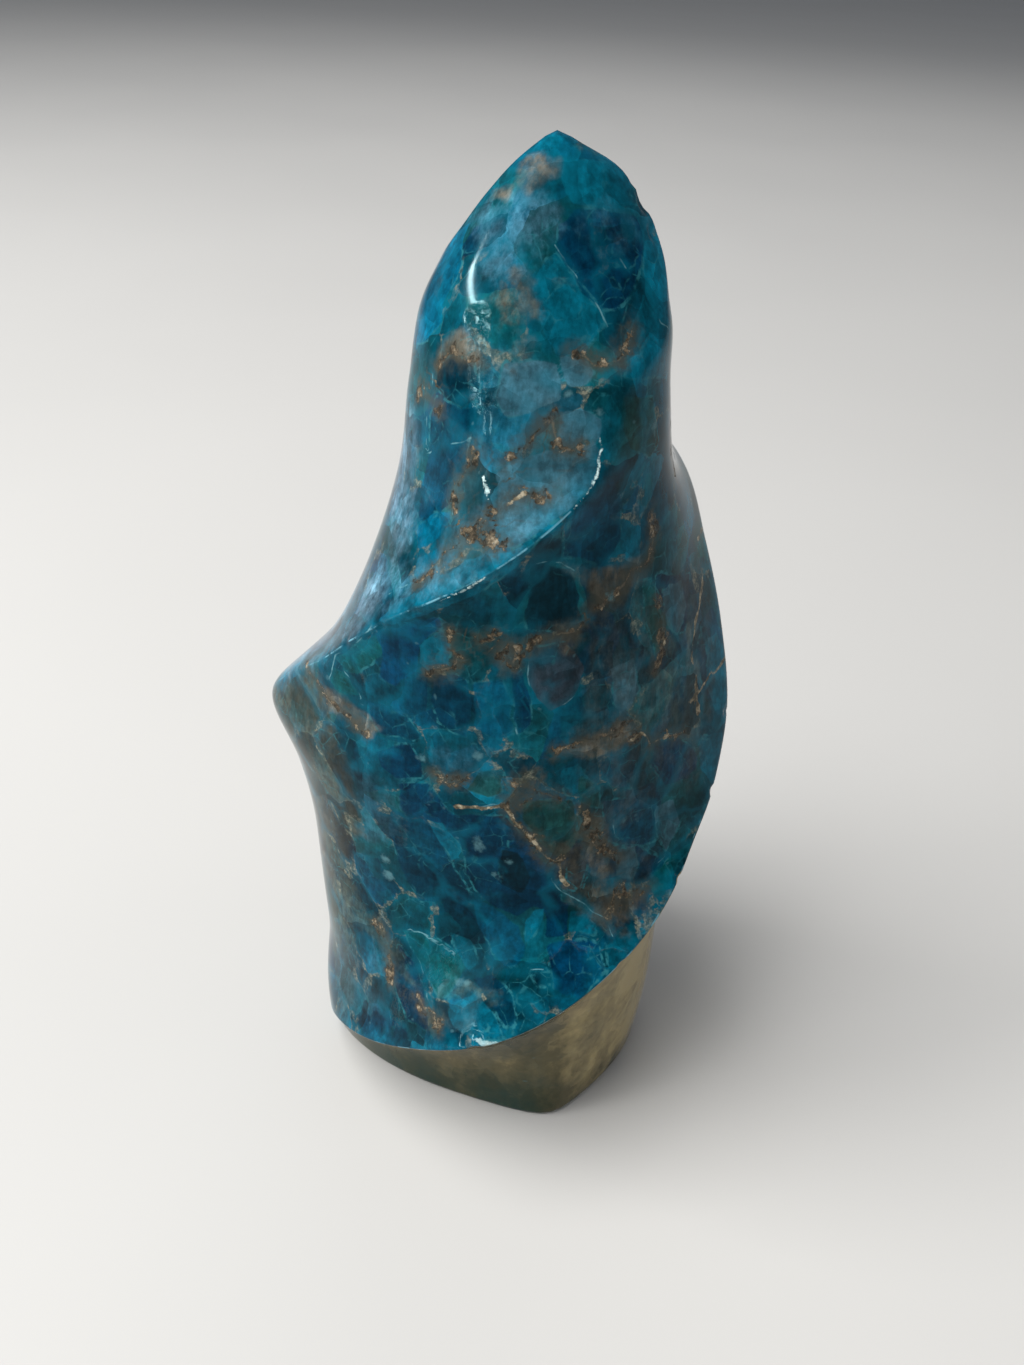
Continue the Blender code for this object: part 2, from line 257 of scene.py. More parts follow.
# Crystals with a clear outline, by colour, each an outline of (azimuth, height).
crystals = {
    "cyan": {
        "tipFace": [(-177, 148.5), (-59, 148.5), (-86, 147), (-77, 146.5), (-114, 146), (-140, 146.5),
            (-167, 147.5)],
        "tipRim": [(-15, 138), (0, 138.5), (-2, 136.5), (-7, 133.5), (-7, 131), (-19, 128.5), (-27, 130.5),
            (-30, 133), (-27, 135), (-21, 136.5)],
        "ridgeBand": [(-136, 96.5), (-122, 100.5), (-110, 105.5), (-102, 106.5), (-92, 108), (-90, 107),
            (-99, 103.5), (-114, 99), (-126, 96), (-132, 95)],
        "cheekSpark": [(-124, 91.5), (-116, 95.5), (-114, 93), (-115, 89.5), (-121, 88), (-124, 89)],
        "footLight": [(-85, 48.5), (-82, 50), (-79, 50), (-79, 49), (-81, 47), (-84, 44.5)],
        "footCyan": [(-103, 35.5), (-97, 37.5), (-93, 37), (-89, 35), (-98, 32.5), (-104, 33), (-105, 34)],
        "slabCyan": [(-16, 70.5), (-7, 68.5), (-9, 64), (-15, 62), (-18, 65)],
    },
    "teal": {
        "tipRight": [(-70, 146), (-26, 146.5), (3, 146), (4, 145), (3, 142.5), (-5, 141.5), (-33, 142),
            (-64, 142), (-76, 143), (-80, 144.5)],
        "browFan": [(-101, 134.5), (-92, 137.5), (-85, 138), (-70, 135), (-58, 132.5), (-57, 130.5),
            (-70, 128), (-83, 128), (-89, 129.5), (-95, 131.5)],
        "browRight": [(-47, 130), (-32, 133), (-22, 128.5), (-17, 123), (-53, 125.5), (-51, 127.5)],
        "rimTeal": [(-17, 70), (-9, 68), (-9, 64), (-13, 60.5), (-17, 64)],
        "footBlock": [(-70, 50), (-62, 48.5), (-64, 46.5), (-71, 47)],
        "footRim": [(-62, 46), (-54, 46.5), (-48, 35.5), (-64, 43)],
        "slabTeal": [(-6, 84), (1, 83.5), (2, 78), (-2, 72), (-8, 72.5), (-10, 77)],
        "lowTealA": [(-76, 74.5), (-69, 75), (-61, 70), (-66, 69), (-73, 70.5)],
        "footMid": [(-109, 44), (-102, 43.5), (-98, 41), (-101, 39.5), (-106, 40.5)],
    },
    "navy": {
        "tipHeart": [(-80, 140), (-64, 141.5), (-45, 142), (-33, 141.5), (-12, 140.5), (-15, 138.5),
            (-24, 136), (-30, 135), (-41, 133), (-51, 132), (-57, 132), (-68, 133.5), (-78, 136.5),
            (-85, 138)],
        "faceStrip": [(-94, 89.5), (-90, 89.5), (-88, 85.5), (-87, 81.5), (-92, 80), (-93, 84.5)],
        "hipNavy": [(-135, 73.5), (-126, 76), (-122, 74.5), (-121, 71.5), (-129, 70), (-134, 71)],
        "hipDark": [(-128, 69.5), (-119, 71), (-115, 68.5), (-110, 66), (-115, 64), (-125, 63.5), (-128, 65)],
        "valleyNavy": [(-30, 99), (-6, 94.5), (-17, 87.5), (-24, 88.5), (-28, 92), (-32, 95.5)],
        "flankNavy": [(-38, 73.5), (-26, 73), (-19, 68.5), (-19, 65), (-30, 66), (-38, 70)],
        "heartNavy": [(-115, 65.5), (-93, 67.5), (-85, 62.5), (-78, 58), (-73, 53), (-73, 49), (-78, 49.5),
            (-83, 50.5), (-88, 49), (-96, 50), (-102, 52.5), (-106, 55.5), (-108, 61), (-113, 63)],
        "footSliver": [(-127, 38), (-119, 36.5), (-111, 31.5), (-110, 30), (-117, 28.5), (-123, 30.5),
            (-127, 34)],
        "grainNavy": [(-56, 59.5), (-43, 57.5), (-36, 53.5), (-43, 51), (-51, 52), (-55, 56)],
        "grainLeft": [(-76, 58), (-68, 62), (-63, 58.5), (-66, 53), (-72, 53), (-76, 55.5)],
        "footLeft": [(-78, 52), (-70, 51), (-72, 46.5), (-78, 46.5)],
        "sideNavyA": [(-66, 98), (-55, 95.5), (-51, 91.5), (-56, 88.5), (-64, 91), (-67, 95)],
    },
    "azure": {
        "browLimb": [(-170, 139), (-179, 137.5), (170, 134), (178, 131.5), (-173, 128), (-173, 124.5),
            (-154, 126.5), (-148, 129), (-153, 131.5), (-151, 133.5), (-153, 135), (-167, 137)],
        "shoulderTop": [(-133, 103), (-124, 105.5), (-120, 108), (-121, 109), (-130, 108), (-137, 105)],
        "shoulderLow": [(-131, 102), (-121, 105.5), (-120, 104), (-124, 101.5), (-130, 101)],
        "lipAzure": [(-136, 93.5), (-134, 95.5), (-124, 99), (-115, 101), (-108, 103), (-114, 99.5),
            (-122, 96.5), (-130, 94.5)],
        "footLow": [(-106, 35), (-100, 36.5), (-95, 36), (-93, 35), (-98, 33), (-103, 33)],
    },
    "slate": {
        "browChip": [(-81, 128), (-71, 127.5), (-67, 126.5), (-72, 125), (-79, 125), (-82, 126)],
        "browGreen": [(-108, 127.5), (-84, 127), (-82, 123.5), (-94, 122), (-104, 121.5), (-110, 123.5)],
        "panelSlate": [(-106, 114.5), (-97, 116.5), (-86, 118), (-76, 117.5), (-69, 119), (-66, 117.5),
            (-69, 114.5), (-77, 112), (-84, 110), (-91, 108), (-98, 107.5), (-103, 109), (-103, 110.5)],
        "panelEye": [(-82, 122), (-72, 122.5), (-66, 121.5), (-67, 119), (-73, 119), (-79, 118), (-82, 119)],
        "sideSlateA": [(-27, 96), (-13, 95), (-12, 91), (-21, 88), (-27, 89.5), (-28, 93)],
        "lowSlate": [(-37, 63), (-30, 62.5), (-28, 58), (-34, 54.5), (-37, 57.5)],
        "midSlate": [(-56, 88), (-46, 88), (-43, 83), (-49, 80.5), (-56, 82.5)],
        "grainOliveB": [(-53, 58.5), (-46, 58), (-44, 54.5), (-48, 52), (-53, 53.5)],
    },
    "ink": {
        "archHeart": [(-143, 124.5), (-134, 126), (-122, 126.5), (-117, 124.5), (-116, 122.5), (-123, 121),
            (-133, 121), (-141, 122)],
        "archCrack": [(-103, 110), (-101, 111.5), (-98, 112.5), (-93, 113.5), (-93, 113), (-97, 112),
            (-100, 111), (-102, 110)],
        "crownDark": [(-92, 106.5), (-87, 108.5), (-80, 109), (-79, 104.5), (-88, 105)],
        "crownBlock": [(-91, 104.5), (-75, 103.5), (-71, 99.5), (-69, 95.5), (-80, 95), (-90, 95.5),
            (-91, 102)],
        "faceTeal": [(-65, 92.5), (-54, 91.5), (-55, 87), (-64, 87)],
        "heartInk": [(-93, 61), (-87, 60.5), (-83, 56), (-87, 53), (-92, 54.5), (-94, 57.5)],
        "footGap": [(-84, 42), (-78, 42.5), (-77, 41.5), (-82, 41)],
    },
    "deep": {
        "archLow": [(-141, 121), (-133, 121), (-123, 121), (-116, 122), (-117, 119.5), (-119, 117),
            (-121, 113.5), (-126, 111.5), (-134, 111.5), (-140, 114.5), (-142, 118)],
        "shoulderBack": [(-140, 114), (-130, 116.5), (-117, 118.5), (-117, 116), (-121, 111.5), (-122, 109.5),
            (-137, 105.5), (-142, 109.5)],
        "crownBlue": [(-70, 113), (-60, 114.5), (-53, 111.5), (-51, 104.5), (-60, 102), (-69, 104.5),
            (-79, 105), (-79, 108.5), (-76, 111.5)],
        "faceDeep": [(-119, 87), (-113, 88.5), (-108, 88), (-107, 84.5), (-107, 79), (-112, 79.5),
            (-117, 80.5), (-120, 84)],
        "faceLeft": [(-141, 80.5), (-133, 81), (-127, 80.5), (-122, 77.5), (-126, 76.5), (-135, 76),
            (-139, 78)],
        "flankBlue": [(-50, 68.5), (-38, 67), (-34, 63.5), (-36, 58.5), (-46, 60.5), (-51, 64.5)],
        "flankSlab": [(-6, 87.5), (4, 87), (3, 81.5), (-1, 76), (-7, 72.5), (-12, 76.5), (-12, 83)],
        "heartLeft": [(-130, 64), (-119, 64.5), (-114, 59), (-108, 54.5), (-102, 50.5), (-106, 47),
            (-111, 49), (-122, 47.5), (-128, 52.5), (-132, 59)],
        "footDeep": [(-100, 38.5), (-93, 40.5), (-88, 39), (-87, 37), (-90, 36), (-93, 37.5), (-97, 38)],
        "belowBand": [(-37, 74), (-21, 71.5), (-18, 66.5), (-22, 64.5), (-33, 66), (-40, 70.5)],
        "lowDark": [(-60, 68), (-44, 67), (-36, 64), (-38, 57.5), (-48, 57.5), (-58, 61)],
    },
    "moss": {
        "crownGreen": [(-56, 124), (-35, 122), (-29, 116), (-36, 114.5), (-51, 117), (-57, 120)],
        "hipGreen": [(-102, 74), (-95, 75), (-94, 71), (-99, 70), (-107, 70.5)],
        "valleyGreen": [(-41, 95), (-33, 94.5), (-29, 92), (-31, 88.5), (-36, 89), (-41, 93.5)],
        "heartGreen": [(-84, 70), (-71, 69.5), (-70, 66), (-69, 63.5), (-76, 60), (-84, 64.5), (-88, 67.5)],
    },
    "green": {
        "lipGreen": [(-151, 85), (-143, 89.5), (-135, 92), (-136, 89.5), (-143, 84.5), (-148, 83.5)],
        "cheekGreen": [(-153, 83), (-148, 83.5), (-143, 81), (-149, 79), (-153, 80.5)],
        "flankGreen": [(-68, 73.5), (-61, 70.5), (-60, 66.5), (-69, 68.5)],
        "footGreen": [(-126, 41), (-121, 42), (-112, 42), (-105, 40.5), (-102, 39.5), (-104, 38),
            (-106, 35.5), (-109, 34), (-118, 37), (-123, 39)],
        "grainTeal": [(-41, 52), (-30, 53.5), (-24, 54), (-37, 50), (-43, 49), (-43, 50.5)],
        "veinSliver": [(-38, 98.5), (-33, 98.5), (-29, 94.5), (-29, 90.5), (-32, 87.5), (-35, 87.5),
            (-37, 91), (-39, 95)],
        "lowGreen": [(-88, 70), (-76, 70), (-68, 65.5), (-69, 61), (-74, 59.5), (-81, 62), (-87, 66.5)],
    },
    "royal": {
        "cheekRoyal": [(-137, 92), (-126, 95), (-117, 97), (-116, 95.5), (-124, 91.5), (-125, 88),
            (-131, 84.5), (-136, 85), (-137, 88.5)],
        "heartRoyal": [(-92, 63), (-85, 62.5), (-78, 58), (-77, 56), (-83, 58), (-90, 60.5)],
        "footRoyal": [(-78, 45.5), (-71, 46), (-64, 46), (-64, 43.5), (-69, 41.5), (-75, 40.5), (-77, 41),
            (-78, 43)],
    },
    "blue": {
        "faceBright": [(-107, 87.5), (-97, 88.5), (-94, 85.5), (-93, 80), (-99, 79.5), (-105, 80.5)],
        "footAzure": [(-102, 51), (-96, 50), (-87, 47.5), (-84, 44.5), (-86, 42), (-90, 41.5), (-95, 43),
            (-100, 46.5)],
    },
    "violet": {
        "faceSlate": [(-89, 93), (-75, 93), (-71, 91), (-67, 89), (-70, 87), (-75, 84.5), (-81, 83.5),
            (-86, 85.5), (-88, 89)],
        "grainDark": [(-72, 60.5), (-66, 61), (-63, 55.5), (-66, 52.5), (-71, 55)],
    },
}

# Soft stains and clouds, without a clear edge; the haze, film and veil clouds among them are painted
# reflections, and the taupe is partly a painted reflection.
clouds = {
    # painted reflection: a thin grey-blue sheen over the upper panel
    "film": {
        "panel": [(-118, 128.5), (-101, 128), (-75, 126), (-67, 121.5), (-72, 116), (-86, 110), (-106, 106),
            (-120, 104), (-119, 108), (-119, 110.5), (-116, 113.5), (-114, 117.5), (-113, 120.5),
            (-113, 123.5), (-117, 127)],
    },
    # painted reflection of the bright room: a grey-blue sheen over the brow, neck and shoulder
    "haze": {
        "neckBand": [(-155, 98), (-109, 105), (-103, 104.5), (-116, 101), (-132, 96), (-145, 91),
            (-156, 93.5)],
        "browReflection": [(-174, 140), (-145, 142), (-118, 143), (-85, 142), (-80, 140.5), (-86, 139), (-97, 138),
            (-110, 138), (-114, 135.5), (-127, 134.5), (-143, 137)],
        "shoulderReflection": [(-120, 107.5), (-112, 109.5), (-102, 110), (-92, 109.5), (-94, 108), (-102, 107),
            (-110, 107), (-117, 106), (-120, 103), (-123, 101), (-124, 100.5), (-120, 104.5)],
    },
    "umber": {
        "faceClumpA": [(-65, 100.5), (-53, 100), (-51, 97), (-59, 96.5), (-66, 98)],
        "faceClumpB": [(-78, 95.5), (-68, 95), (-68, 92.5), (-72, 91), (-78, 92.5)],
        "faceClumpC": [(-90, 76), (-83, 75.5), (-82, 72.5), (-86, 70.5), (-90, 73)],
        "faceClumpD": [(-69, 66), (-59, 65), (-54, 61), (-54, 57), (-62, 56.5), (-70, 61.5)],
        "browSmoke": [(-117, 135), (-108, 136), (-101, 134.5), (-95, 131.5), (-100, 131), (-109, 131),
            (-120, 132.5)],
        "browSpot": [(-105, 128.5), (-99, 129), (-97, 128), (-98, 126.5), (-103, 126.5)],
        "grainStain": [(-63, 54), (-55, 52.5), (-45, 50), (-49, 48), (-55, 47), (-60, 46.5), (-60, 49),
            (-64, 51)],
        "grainOliveA": [(-62, 57.5), (-57, 58), (-54, 54.5), (-57, 51.5), (-61, 53)],
        "grainOliveB": [(-70, 54), (-63, 53.5), (-58, 50), (-61, 48), (-65, 50)],
        "grainBrown": [(-80, 62.5), (-71, 62), (-63, 53), (-57, 48.5), (-60, 47.5), (-66, 49.5), (-73, 54)],
        "cheekSmoke": [(-101, 92.5), (-95, 94), (-91, 92.5), (-92, 90), (-97, 89.5)],
        "sideSmokeA": [(-92, 94), (-78, 95), (-69, 94.5), (-70, 92), (-82, 92.5), (-90, 92)],
        "sideSmokeB": [(-63, 100), (-52, 100), (-48, 98), (-56, 97), (-62, 97)],
    },
    "mist": {
        "rimStreak": [(-19, 87), (-10, 84.5), (-14, 77), (-17, 70), (-23, 72), (-23, 80)],
        "hipHaze": [(-116, 76.5), (-103, 78), (-93, 78), (-92, 75), (-106, 73.5), (-117, 73)],
        "grainPale": [(-63, 57), (-57, 56.5), (-56, 55), (-60, 53.5), (-64, 54.5)],
        "limbColumn": [(-144, 68.5), (-128, 67.5), (-129, 58.5), (-141, 55.5)],
        "footCorner": [(-157, 25), (-132, 36), (-126, 28.5), (-134, 20.5), (-148, 13)],
        "tipGreyRim": [(-4, 142), (2, 141), (1, 139.5), (-2, 138.5), (-13, 138), (-12, 140)],
        "tipVeil": [(-42, 142.5), (-30, 142.5), (-38, 140.5), (-12, 140.5), (-17, 138.5), (-34, 138),
            (-45, 139.5), (-62, 140.5)],
    },
    # painted reflection of the pale sky, seen at a grazing angle on the left limb and above the corner
    "veil": {
        "limb": [(-175, 115), (-156, 118), (-149, 114.5), (-149, 109.5), (-139, 105), (-140, 101),
            (-143, 98.5), (-177, 107)],
        "corner": [(180, 72.5), (178, 77.5), (-176, 86), (-171, 93.5), (-146, 96.5), (-140, 94.5), (-143, 91),
            (-155, 85), (-165, 79)],
    },
    "dusk": {
        "faceRight": [(-68, 102), (-49, 101), (-35, 94.5), (-36, 87.5), (-27, 80), (-25, 73), (-35, 67),
            (-47, 63), (-62, 60), (-69, 64.5), (-67, 72), (-70, 80), (-67, 85.5), (-66, 93)],
        "rimDusk": [(-19, 98.5), (5, 94.5), (0, 85.5), (-8, 74.5), (-15, 67.5), (-23, 62.5), (-28, 66.5),
            (-22, 78), (-19, 90)],
        "grainDusk": [(-74, 61.5), (-60, 60.5), (-44, 58), (-37, 55), (-44, 50.5), (-53, 47.5), (-60, 47),
            (-66, 51), (-72, 56.5)],
    },
    "bark": {
        "tipStain": [(-155, 146), (-137, 146.5), (-109, 146), (-71, 146), (-86, 144.5), (-107, 144),
            (-119, 143), (-135, 143.5), (-152, 144.5), (-158, 145)],
        "tipStainTail": [(-162, 142), (-166, 142.5), (-150, 143), (-146, 142)],
        "archSmoke": [(-144, 126.5), (-133, 129), (-120, 128), (-118, 126.5), (-137, 125.5), (-143, 124)],
        "crownSmoke": [(-79, 104.5), (-64, 102), (-50, 101.5), (-37, 102), (-35, 98), (-55, 99.5), (-61, 97),
            (-67, 100)],
        "hipSmoke": [(-77, 77), (-59, 79.5), (-46, 78.5), (-48, 75.5), (-64, 75.5)],
        "cornerStain": [(-155, 79), (-149, 79), (-142, 78.5), (-135, 77), (-139, 75), (-147, 76), (-154, 76)],
    },
    # taupe stone colour along the left limb, partly a painted reflection of the table
    "taupe": {
        "limbUpper": [(-179, 70.5), (-160, 80), (-153, 76), (-143, 67), (-141, 56), (-173, 41), (-173, 58.5)],
        "limbLower": [(-174, 50), (-150, 57), (-146, 47), (-147, 37), (-160, 26.5), (-162, 37.5)],
    },
    "sage": {
        "footBand": [(-155, 44), (-148, 47), (-143, 42), (-136, 39), (-128, 38.5), (-123, 36.5), (-118, 33.5),
            (-120, 33), (-127, 35.5), (-136, 36), (-146, 37), (-154, 38.5)],
        "leftLow": [(-158, 40), (-148, 44.5), (-143, 31), (-141, 18.5), (-150, 14.5), (-162, 23.5)],
        "hemPale": [(-105, 36), (-101, 38), (-96, 38), (-91, 38.5), (-90, 38), (-95, 37.5), (-99, 37),
            (-103, 36)],
        "rimSage": [(-16, 89), (-9, 89), (-9, 84.5), (-15, 76.5), (-18, 70), (-23, 71), (-22, 78),
            (-18, 83.5)],
        "rimSageLow": [(-27, 88.5), (-23, 87.5), (-23, 80), (-26, 73.5), (-30, 74.5), (-30, 81)],
    },
}

# Seams of iron stain, each a path of (azimuth, height).
rustSeams = {
    "browSeam": [(-103, 116), (-98, 117.5), (-94, 118.5), (-90, 120.5), (-86, 121.5), (-84, 120),
        (-81, 118.5), (-76, 118), (-74, 119)],
    "pitSeam": [(-103, 110.5), (-100, 111.5), (-97, 112.5), (-94, 113), (-88, 112.5), (-84, 113)],
    "shoulderClump": [(-107, 108.5), (-104, 108), (-101, 107), (-98, 108)],
    "shoulderSeam": [(-126, 100.5), (-123, 102), (-120, 103), (-120, 104.5), (-114, 106), (-112, 107),
        (-108, 107.5), (-105, 107)],
    "creaseSeam": [(-121, 109.5), (-120, 111), (-119, 112.5), (-117, 115), (-115, 117)],
    "browClump": [(-73, 128), (-67, 127), (-61, 127), (-53, 127.5), (-47, 129), (-44, 130)],
    "eyebrowSeam": [(-154, 120.5), (-143, 120.5), (-137, 120)],
    "archSeam": [(-142, 124.5), (-135, 126.5), (-123, 126.5), (-120, 127)],
    "valleyVein": [(-31, 95), (-28, 92), (-30, 90.5), (-30, 88), (-35, 85.5)],
    "ledgeSeam": [(-105, 94), (-101, 94.5), (-98, 93.5), (-94, 92.5), (-90, 93), (-85, 94), (-79, 94.5),
        (-71, 94.5)],
    "emberSeam": [(-61, 97), (-58, 98), (-51, 99)],
    "crownSeam": [(-64, 97), (-58, 97.5), (-52, 98.5), (-45, 100.5), (-36, 100.5), (-33, 102), (-31, 103.5),
        (-31, 106.5)],
    "waistSeam": [(-77, 77.5), (-72, 78), (-63, 78), (-56, 78.5), (-50, 79), (-46, 78.5)],
    "waistHook": [(-55, 76.5), (-48, 76), (-43, 76.5), (-40, 75.5), (-39, 73.5), (-37, 74), (-31, 74),
        (-24, 73)],
    "heartSeam": [(-93, 68.5), (-89, 66), (-84, 63), (-79, 60), (-76, 58.5)],
    "heartSeam2": [(-90, 66.5), (-86, 64.5), (-81, 62), (-77, 58.5), (-75, 59)],
    "heartClump": [(-92, 69.5), (-91, 71), (-88, 73), (-84, 71.5), (-80, 71), (-75, 70)],
    "footBand": [(-135, 39.5), (-130, 36), (-125, 31.5)],
    "footBandLow": [(-116, 32.5), (-111, 32), (-107, 31.5)],
    "heartKnot": [(-91, 73), (-88, 72), (-86, 70.5), (-89, 69), (-91, 70.5)],
    "cheekClump": [(-99, 92), (-96, 92.5), (-93, 92), (-94, 90.5)],
    "sideSeam": [(-92, 93), (-83, 94), (-77, 94.5), (-71, 94)],
    "cheekSeam": [(-114, 95), (-114, 92.5), (-112, 90.5), (-115, 89), (-120, 88)],
    "cornerClump": [(-163, 80.5), (-159, 79.5), (-153, 77.5), (-148, 77), (-141, 75.5)],
    "hipSeam": [(-117, 72.5), (-113, 71.5), (-109, 72)],
    "grainSeam": [(-69, 68), (-65, 65), (-67, 63.5), (-62, 61.5), (-61, 63.5)],
    "grainSeamB": [(-66, 63.5), (-62, 63), (-60, 60), (-52, 57)],
    "grainSeamC": [(-59, 49), (-53, 51.5), (-51, 49.5), (-47, 50), (-44, 50.5)],
}

# Thin pale cracks.
paleCracks = {
    "tipCrackA": [(-85, 138.5), (-72, 135.5), (-61, 133), (-56, 130.5)],
    "tipCrackB": [(-48, 139), (-40, 137.5), (-37, 136)],
    "tipCrackC": [(-27, 135), (-28, 132.5), (-26, 130), (-18, 128)],
    "tipCrackD": [(-70, 141.5), (-40, 142.5), (-36, 141.5), (-11, 141.5)],
    "tipCrackE": [(-73, 145.5), (-62, 143.5)],
    "tipCrackF": [(-108, 137), (-100, 134.5), (-93, 135.5)],
    "temple": [(-142, 114), (-130, 116.5), (-116, 118.5)],
    "ridgeCrack": [(-154, 80.5), (-151, 85.5), (-143, 89.5), (-138, 92.5), (-140, 94.5)],
    "ridgeLoop": [(-154, 80.5), (-149, 79.5), (-142, 79.5)],
    "ridgeLoopB": [(-148, 83.5), (-145, 82.5), (-143, 80.5)],
    "slateRim": [(-89, 92.5), (-88, 88.5), (-86, 85), (-81, 84), (-76, 84.5), (-71, 86)],
    "faceCrack": [(-95, 91.5), (-94, 85), (-92, 80)],
    "whiteSeam": [(-102, 68), (-98, 69), (-94, 69)],
    "needle": [(-56, 64.5), (-54, 61)],
    "rightCrackA": [(-17, 63), (-15, 59.5)],
    "rightCrackB": [(-9, 74), (-6, 70.5)],
    "midCrackA": [(-64, 72.5), (-60, 70)],
    "midCrackB": [(-52, 75), (-52, 73), (-57, 71)],
    "hemCrack": [(-124, 42), (-117, 42), (-112, 41.5), (-107, 40.5), (-103, 39.5)],
    "footCrack": [(-80, 48), (-82, 45.5), (-84, 43), (-85, 42), (-90, 41)],
    "footCrackB": [(-85, 42), (-80, 42.5)],
    "grainCrack": [(-77, 58), (-76, 55), (-73, 53), (-69, 52), (-63, 49.5), (-61, 49), (-59, 48.5),
        (-59, 46.5)],
    "grainCrackB": [(-42, 51.5), (-38, 53.5), (-34, 54), (-31, 53)],
    "wedge": [(-89, 104.5), (-79, 104.5), (-73, 103)],
    "shoulderCrack": [(-139, 96.5), (-134, 98.5), (-127, 100.5), (-123, 101)],
    "footBandLine": [(-124, 39.5), (-117, 37), (-113, 33.5), (-106, 32), (-102, 31.5)],
    "archEdge": [(-119, 126), (-116, 123.5), (-116, 120.5), (-117, 117.5), (-119, 114), (-121, 111),
        (-120, 108.5)],
    "limbLine": [(-149, 126.5), (-145, 122.5), (-144, 118), (-143, 115)],
    "cheekLine": [(-99, 96.5), (-98, 94), (-97, 91), (-98, 90)],
    "footEdge": [(-125, 41.5), (-119, 42), (-112, 41), (-103, 39.5)],
    "sideLineA": [(-50, 79.5), (-45, 77), (-40, 74.5), (-39, 71.5)],
    "sideLineB": [(-38, 74.5), (-33, 74.5), (-25, 73.5)],
}

# Crisp tan and cream seams.
creamSeams = {
    "heartLine": [(-109, 67.5), (-106, 67.5), (-101, 68), (-94, 69), (-91, 71)],
    "heartEdge": [(-93, 68.5), (-89, 66), (-84, 63), (-79, 60), (-76, 58.5)],
    "rimVein": [(3, 92), (-3, 90), (-10, 88), (-15, 83.5), (-14, 80.5), (-15, 77), (-16, 74.5)],
    "valleyVein": [(-31, 95), (-28, 92), (-30, 90.5), (-30, 88)],
    "waistHook": [(-48, 76), (-43, 76.5), (-40, 75.5), (-39, 73.5), (-37, 74), (-31, 74)],
    "wedge": [(-100, 111.5), (-97, 112.5), (-94, 113)],
    "grain": [(-75, 59), (-73, 56), (-71, 54)],
}

# Small bright spots: azimuth, height and radius in mm.
flecks = {
    "heartA": (-101, 61, 0.72), "heartB": (-102, 62.3, 0.48), "heartC": (-133, 53.5, 0.64),
    "heartD": (-133, 50.2, 0.72), "glintA": (-95, 56.2, 0.28), "glintB": (-93.5, 55.6, 0.24),
    "glintC": (-90.5, 58.6, 0.28), "hemA": (-104, 37.4, 0.56), "hemB": (-101, 37.6, 0.44),
    "hipA": (-122, 74.6, 0.48), "hipB": (-104, 76.6, 0.56), "crownA": (-57, 98, 0.4),
    "rimA": (-33, 118.2, 0.48), "browA": (-102.5, 133, 0.28), "browB": (-79, 124.2, 0.32),
    "browC": (-66, 122.2, 0.4), "flankA": (-46, 62.4, 0.28), "flankB": (-51, 63.4, 0.24),
}

# Where the polish is pitted and where it has gone dull, each a path of (azimuth, height).
scuffs = {
    "brow": [(-126, 130.8), (-121, 128), (-117, 125.5), (-114, 123)],
    "hem": [(-106, 40.5), (-110, 38.5), (-113, 36), (-120, 31), (-121, 27)],
}
dullPaths = {
    "hem": [(-90, 46), (-95, 43), (-98, 41), (-101, 38), (-103, 35)],
    "neck": [(-115, 111), (-115, 107), (-113, 102.5)],
}

# Where the ridges are worn white, and where highlights are painted along them: azimuth, height and half width
# in mm along each stroke. The crescent, neck and glint strokes are painted highlights; the foot chip is a
# real pale chip.
wornEdgesAndHighlights = {
    "crescent": [(-67, 119.5, 0.02), (-66, 118.4, 0.07), (-67, 117.2, 0.13), (-67, 116.1, 0.18),
        (-68, 115.2, 0.16), (-70, 114, 0.09), (-73, 112.8, 0.03), (-77, 111.6, 0.01)],
    "neck": [(-103, 104, 0.04), (-106, 103, 0.16), (-108, 102.2, 0.14), (-111, 101.4, 0.07),
        (-116, 99.9, 0.03)],
    "glint": [(-110, 114.2, 0.04), (-109, 113.4, 0.24), (-108, 112.7, 0.30), (-107, 111.8, 0.06)],
    "footChip": [(-98, 33, 0.1), (-96, 33.4, 0.40), (-94, 33.6, 0.48), (-92, 34, 0.34), (-90.5, 34.5, 0.06)],
}

# What the hidden sides get, strewn in the same manner and as thickly. Sizes and heights are in mm.
hiddenSide = {
    "seed": 17,
    "azimuths": (8, 176),
    "crystals": 66,
    "crystalSizes": (2.2, 5.5),
    "crystalShares": {
        "deep": 5, "navy": 4, "teal": 4, "azure": 3, "green": 3,
        "moss": 2, "slate": 2, "violet": 1, "ink": 2, "royal": 2, "cyan": 1,
    },
    "clouds": 16,
    "cloudSizes": (3.0, 6.5),
    "cloudShares": {"mist": 4, "umber": 3, "dusk": 3, "bark": 1, "haze": 1},
    "seams": {"rust": 17, "crack": 26, "cream": 6},
    # an outline's place, its stretch, its corners, how unevenly they are spread and how far out they lie
    "outlineHeights": (3.0, 138.0),
    "outlineStretch": (1.0, 1.9),
    "outlineCorners": (5, 7),
    "outlineSpread": 0.3,
    "outlineReach": (0.75, 1.2),
    "outlineLimits": (0.0, 147.0),
    # a seam's start, its slope there, its steps and how much it bends at each
    "seamHeights": (4.0, 136.0),
    "seamSlope": 0.7,
    "seamSteps": (4, 9),
    "seamStep": (1.6, 3.6),
    "seamBend": 0.9,
    "seamLimits": (1.0, 144.0),
    "seamRadius": 22.0,
}

